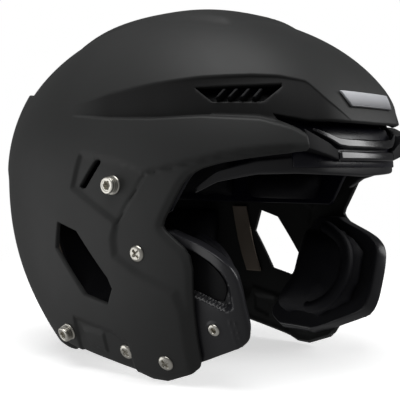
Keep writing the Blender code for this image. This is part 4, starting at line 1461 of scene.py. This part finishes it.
@dataclass
class Tube:
    """Round bar along a path, closed by half-round ends."""

    path: Array
    radius: float
    sides: int = 20

    def solid(self) -> Solid:
        """Rings across the path's tangents, shrinking to a point at both ends."""
        steps = np.linalg.norm(np.diff(self.path, axis=0), axis=1)
        place = np.concatenate([[0.0], np.cumsum(steps)])
        cap = self.radius * (1.0 - np.cos(np.linspace(0.0, math.pi / 2, 6)))
        along = np.concatenate([cap, np.linspace(self.radius, place[-1] - self.radius, 60)[1:-1],
                                place[-1] - cap[::-1]])
        centre = np.stack([np.interp(along, place, self.path[:, i]) for i in range(3)], -1)
        edge = np.clip(np.minimum(along, place[-1] - along) / self.radius, 0.0, 1.0)
        size = self.radius * np.sqrt(np.clip(1.0 - (1.0 - edge) ** 2, 1e-6, None))
        tangent = np.gradient(centre, along, axis=0)
        tangent /= np.linalg.norm(tangent, axis=1, keepdims=True)
        across = np.cross(tangent, HULL.normals(centre))
        across /= np.linalg.norm(across, axis=1, keepdims=True)
        other = np.cross(tangent, across)
        theta = np.linspace(0.0, 2.0 * math.pi, self.sides, endpoint=False)[None, :, None]
        rings = centre[:, None] + size[:, None, None] * (across[:, None] * np.cos(theta)
                                                         + other[:, None] * np.sin(theta))
        count = len(along)
        points = np.concatenate([rings.reshape(-1, 3), centre[[0, -1]]])
        j = np.arange(self.sides)
        k = (j + 1) % self.sides
        first = np.stack([np.full(self.sides, len(points) - 2), k, j], -1)
        top = (count - 1) * self.sides
        last = np.stack([top + j, top + k, np.full(self.sides, len(points) - 1)], -1)
        return Solid(points, [quads(count, self.sides, wrap=True), first, last])


@dataclass
class JawRoll:
    """Rolled front border of the jaw cushion."""

    side: Side
    heights: Tuple[float, ...] = (22.0, 23.0, 30.0, 42.0, 56.0, 70.0, 82.0, 91.0, 96.0)
    places: Tuple[float, ...] = (-60.0, -76.0, -91.0, -100.0, -103.0, -101.5, -95.0, -82.0, -66.0)
    depth: float = 33.0 * MM
    radius: float = 5.0 * MM

    def build(self) -> None:
        """Build the roll on the cushion's body."""
        t = np.linspace(0.0, 1.0, 80)
        knots = np.linspace(0.0, 1.0, len(self.heights))
        z = rounded_table(t, knots, self.heights, 0.06)
        y = rounded_table(t, knots, self.places, 0.06)
        path = HULL.out(HULL.beside(y * MM + HULL.shift_y, z * MM, self.side), np.full(80, -self.depth))
        body = self.side.named("jaw_pad")
        roll = add(self.side.named("jaw_roll"), Tube(path, self.radius).solid(), Look.CUSHION, body)


class Cushions:
    """All pads round the head."""

    PADS = (
        Cushion("front_pad", "front_pad"),
        Cushion("crown_pad", "crown_pad"),
        Cushion("rear_pad", "rear_pad"),
        Cushion("nape_pad", "nape_pad"),
        Cushion("jaw_pad_left", "jaw_pad_left", mirror=True),
        Cushion("temple_pad_left", "temple_pad_left", mirror=True),
        Cushion("upper_pad_left", "helmet", mirror=True),
        Cushion("side_pad_left", "helmet", mirror=True),
        Cushion("upper_side_pad_left", "helmet", mirror=True))

    def build(self) -> None:
        """Build every cover."""
        for pad in self.PADS:
            pad.build()
            LOG.info("cushion %s", pad.node)


@dataclass
class HookStrip:
    """Strip of hook tape inside the shell behind the ear opening."""

    side: Side

    def build(self) -> None:
        """Build the strip in place of its CAD node."""
        heights = (52, 66, 81, 96, 110)
        surface = flank(self.side, heights, (35, 43, 49.5, 54, 57.5), (19, 27, 33.5, 38.5, 42.5), 2.0)
        solid = Slab(surface, 0.017, 0.056, 4.8 * MM, 6.5 * MM, 0.6 * MM, 10, 30).solid()
        tape = add(self.side.named("hook_tape"), solid, Look.HOOK, "helmet")
        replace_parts(tape, self.side.named("hook_strip"))


# ------------------------------------------------------------------------ studio
@dataclass
class Studio:
    """Camera, floor and soft light."""

    eye: Tuple[float, float, float] = (-0.50984, -0.44680, 0.14465)
    aim: Tuple[float, float, float] = (0.0, -0.0036, 0.120)
    lens: float = 78.1
    ambient: float = 0.17
    bias: Tuple[float, float, float] = (-0.08, 0.02, -0.12)
    heart: Tuple[float, float, float] = (0.0, 0.0, 0.12)

    @staticmethod
    def facing(eye: Tuple[float, float, float], aim: Tuple[float, float, float]) -> Euler:
        """Rotation that turns a camera or light at eye towards aim."""
        return (Vector(aim) - Vector(eye)).to_track_quat("-Z", "Y").to_euler()

    def camera(self) -> None:
        """Place the camera."""
        data = bpy.data.cameras.new("camera")
        data.lens = self.lens
        data.sensor_width = 36.0
        thing = bpy.data.objects.new("camera", data)
        thing.location = self.eye
        thing.rotation_euler = self.facing(self.eye, self.aim)
        bpy.context.scene.collection.objects.link(thing)
        bpy.context.scene.camera = thing

    def floor(self) -> None:
        """Pale round floor."""
        theta = np.linspace(0.0, 2.0 * math.pi, 96, endpoint=False)
        rim = np.stack([3.0 * np.cos(theta), 3.0 * np.sin(theta), 0.0 * theta - 0.0005], -1)
        mesh = bpy.data.meshes.new("floor")
        mesh.from_pydata(rim.tolist(), [], [tuple(range(96))])
        thing = bpy.data.objects.new("floor", mesh)
        graph = Graph("floor_pale")
        graph.put(Base_Color=(0.86, 0.86, 0.86, 1.0), Roughness=0.9, Specular_IOR_Level=0.1)
        graph.put(Emission_Color=(1.0, 1.0, 1.0, 1.0), Emission_Strength=0.62)
        reach = graph.node("ShaderNodeVectorMath", {"operation": "LENGTH"}, {0: graph.place()}, "Value")
        graph.put(Alpha=1.0 - reach.ramp(0.30, 0.95))
        mesh.materials.append(graph.material)
        thing.visible_diffuse = False
        thing.visible_shadow = False
        thing.visible_glossy = False
        bpy.context.scene.collection.objects.link(thing)

    def world(self) -> None:
        """Soft surroundings, brighter from below and from the wearer's right, on a white background."""
        world = bpy.data.worlds.new("surroundings")
        world.use_nodes = True
        tree = world.node_tree
        around = tree.nodes["Background"]
        way = tree.nodes.new("ShaderNodeTexCoord")
        dot = tree.nodes.new("ShaderNodeVectorMath")
        dot.operation = "DOT_PRODUCT"
        dot.inputs[1].default_value = self.bias
        total = tree.nodes.new("ShaderNodeMath")
        total.operation = "ADD"
        total.use_clamp = True
        total.inputs[1].default_value = self.ambient
        plain = tree.nodes.new("ShaderNodeBackground")
        plain.inputs["Color"].default_value = (1.0, 1.0, 1.0, 1.0)
        sight = tree.nodes.new("ShaderNodeLightPath")
        mix = tree.nodes.new("ShaderNodeMixShader")
        tree.links.new(way.outputs["Generated"], dot.inputs[0])
        tree.links.new(dot.outputs["Value"], total.inputs[0])
        tree.links.new(total.outputs["Value"], around.inputs["Strength"])
        around.inputs["Color"].default_value = (1.0, 1.0, 1.0, 1.0)
        tree.links.new(sight.outputs["Is Camera Ray"], mix.inputs[0])
        tree.links.new(around.outputs[0], mix.inputs[1])
        tree.links.new(plain.outputs[0], mix.inputs[2])
        tree.links.new(mix.outputs[0], tree.nodes["World Output"].inputs["Surface"])
        bpy.context.scene.world = world
        bpy.context.scene.view_settings.view_transform = "Standard"

    def light(self, name: str, place: Tuple[float, float, float], size: float, power: float) -> None:
        """Soft square light aimed at the helmet."""
        data = bpy.data.lights.new(name, "AREA")
        data.size = size
        data.energy = power
        thing = bpy.data.objects.new(name, data)
        thing.location = place
        thing.rotation_euler = self.facing(place, self.heart)
        bpy.context.scene.collection.objects.link(thing)

    def build(self) -> None:
        """Set the studio up."""
        self.camera()
        self.floor()
        self.world()
        self.light("top_light", (-0.35, -0.15, 1.3), 1.1, 14.5)
        self.light("rear_light", (-0.80, 0.80, -0.10), 0.9, 3.2)
        self.light("front_light", (0.78, -0.91, 0.63), 0.7, 6.5)


def main() -> None:
    """Build the helmet piece by piece."""
    logging.basicConfig(level=logging.INFO, format="%(message)s")
    steps: List[Tuple[str, Callable[[], object]]] = [
        ("studio", Studio().build), ("outer shell", OuterShell().build), ("liner", LinerShell().build),
        ("brow", Brow().build)]
    for side in Side:
        steps += [("vent " + side.word, Vent(side).build),
                  ("pod " + side.word, JawPod(side).build),
                  ("fasteners " + side.word, Fasteners(side).build),
                  ("roll " + side.word, JawRoll(side).build),
                  ("hook tape " + side.word, HookStrip(side).build)]
    steps.append(("cushions", Cushions().build))
    for label, build in steps:
        build()
        LOG.info("built %s", label)


if __name__ == "__main__":
    main()
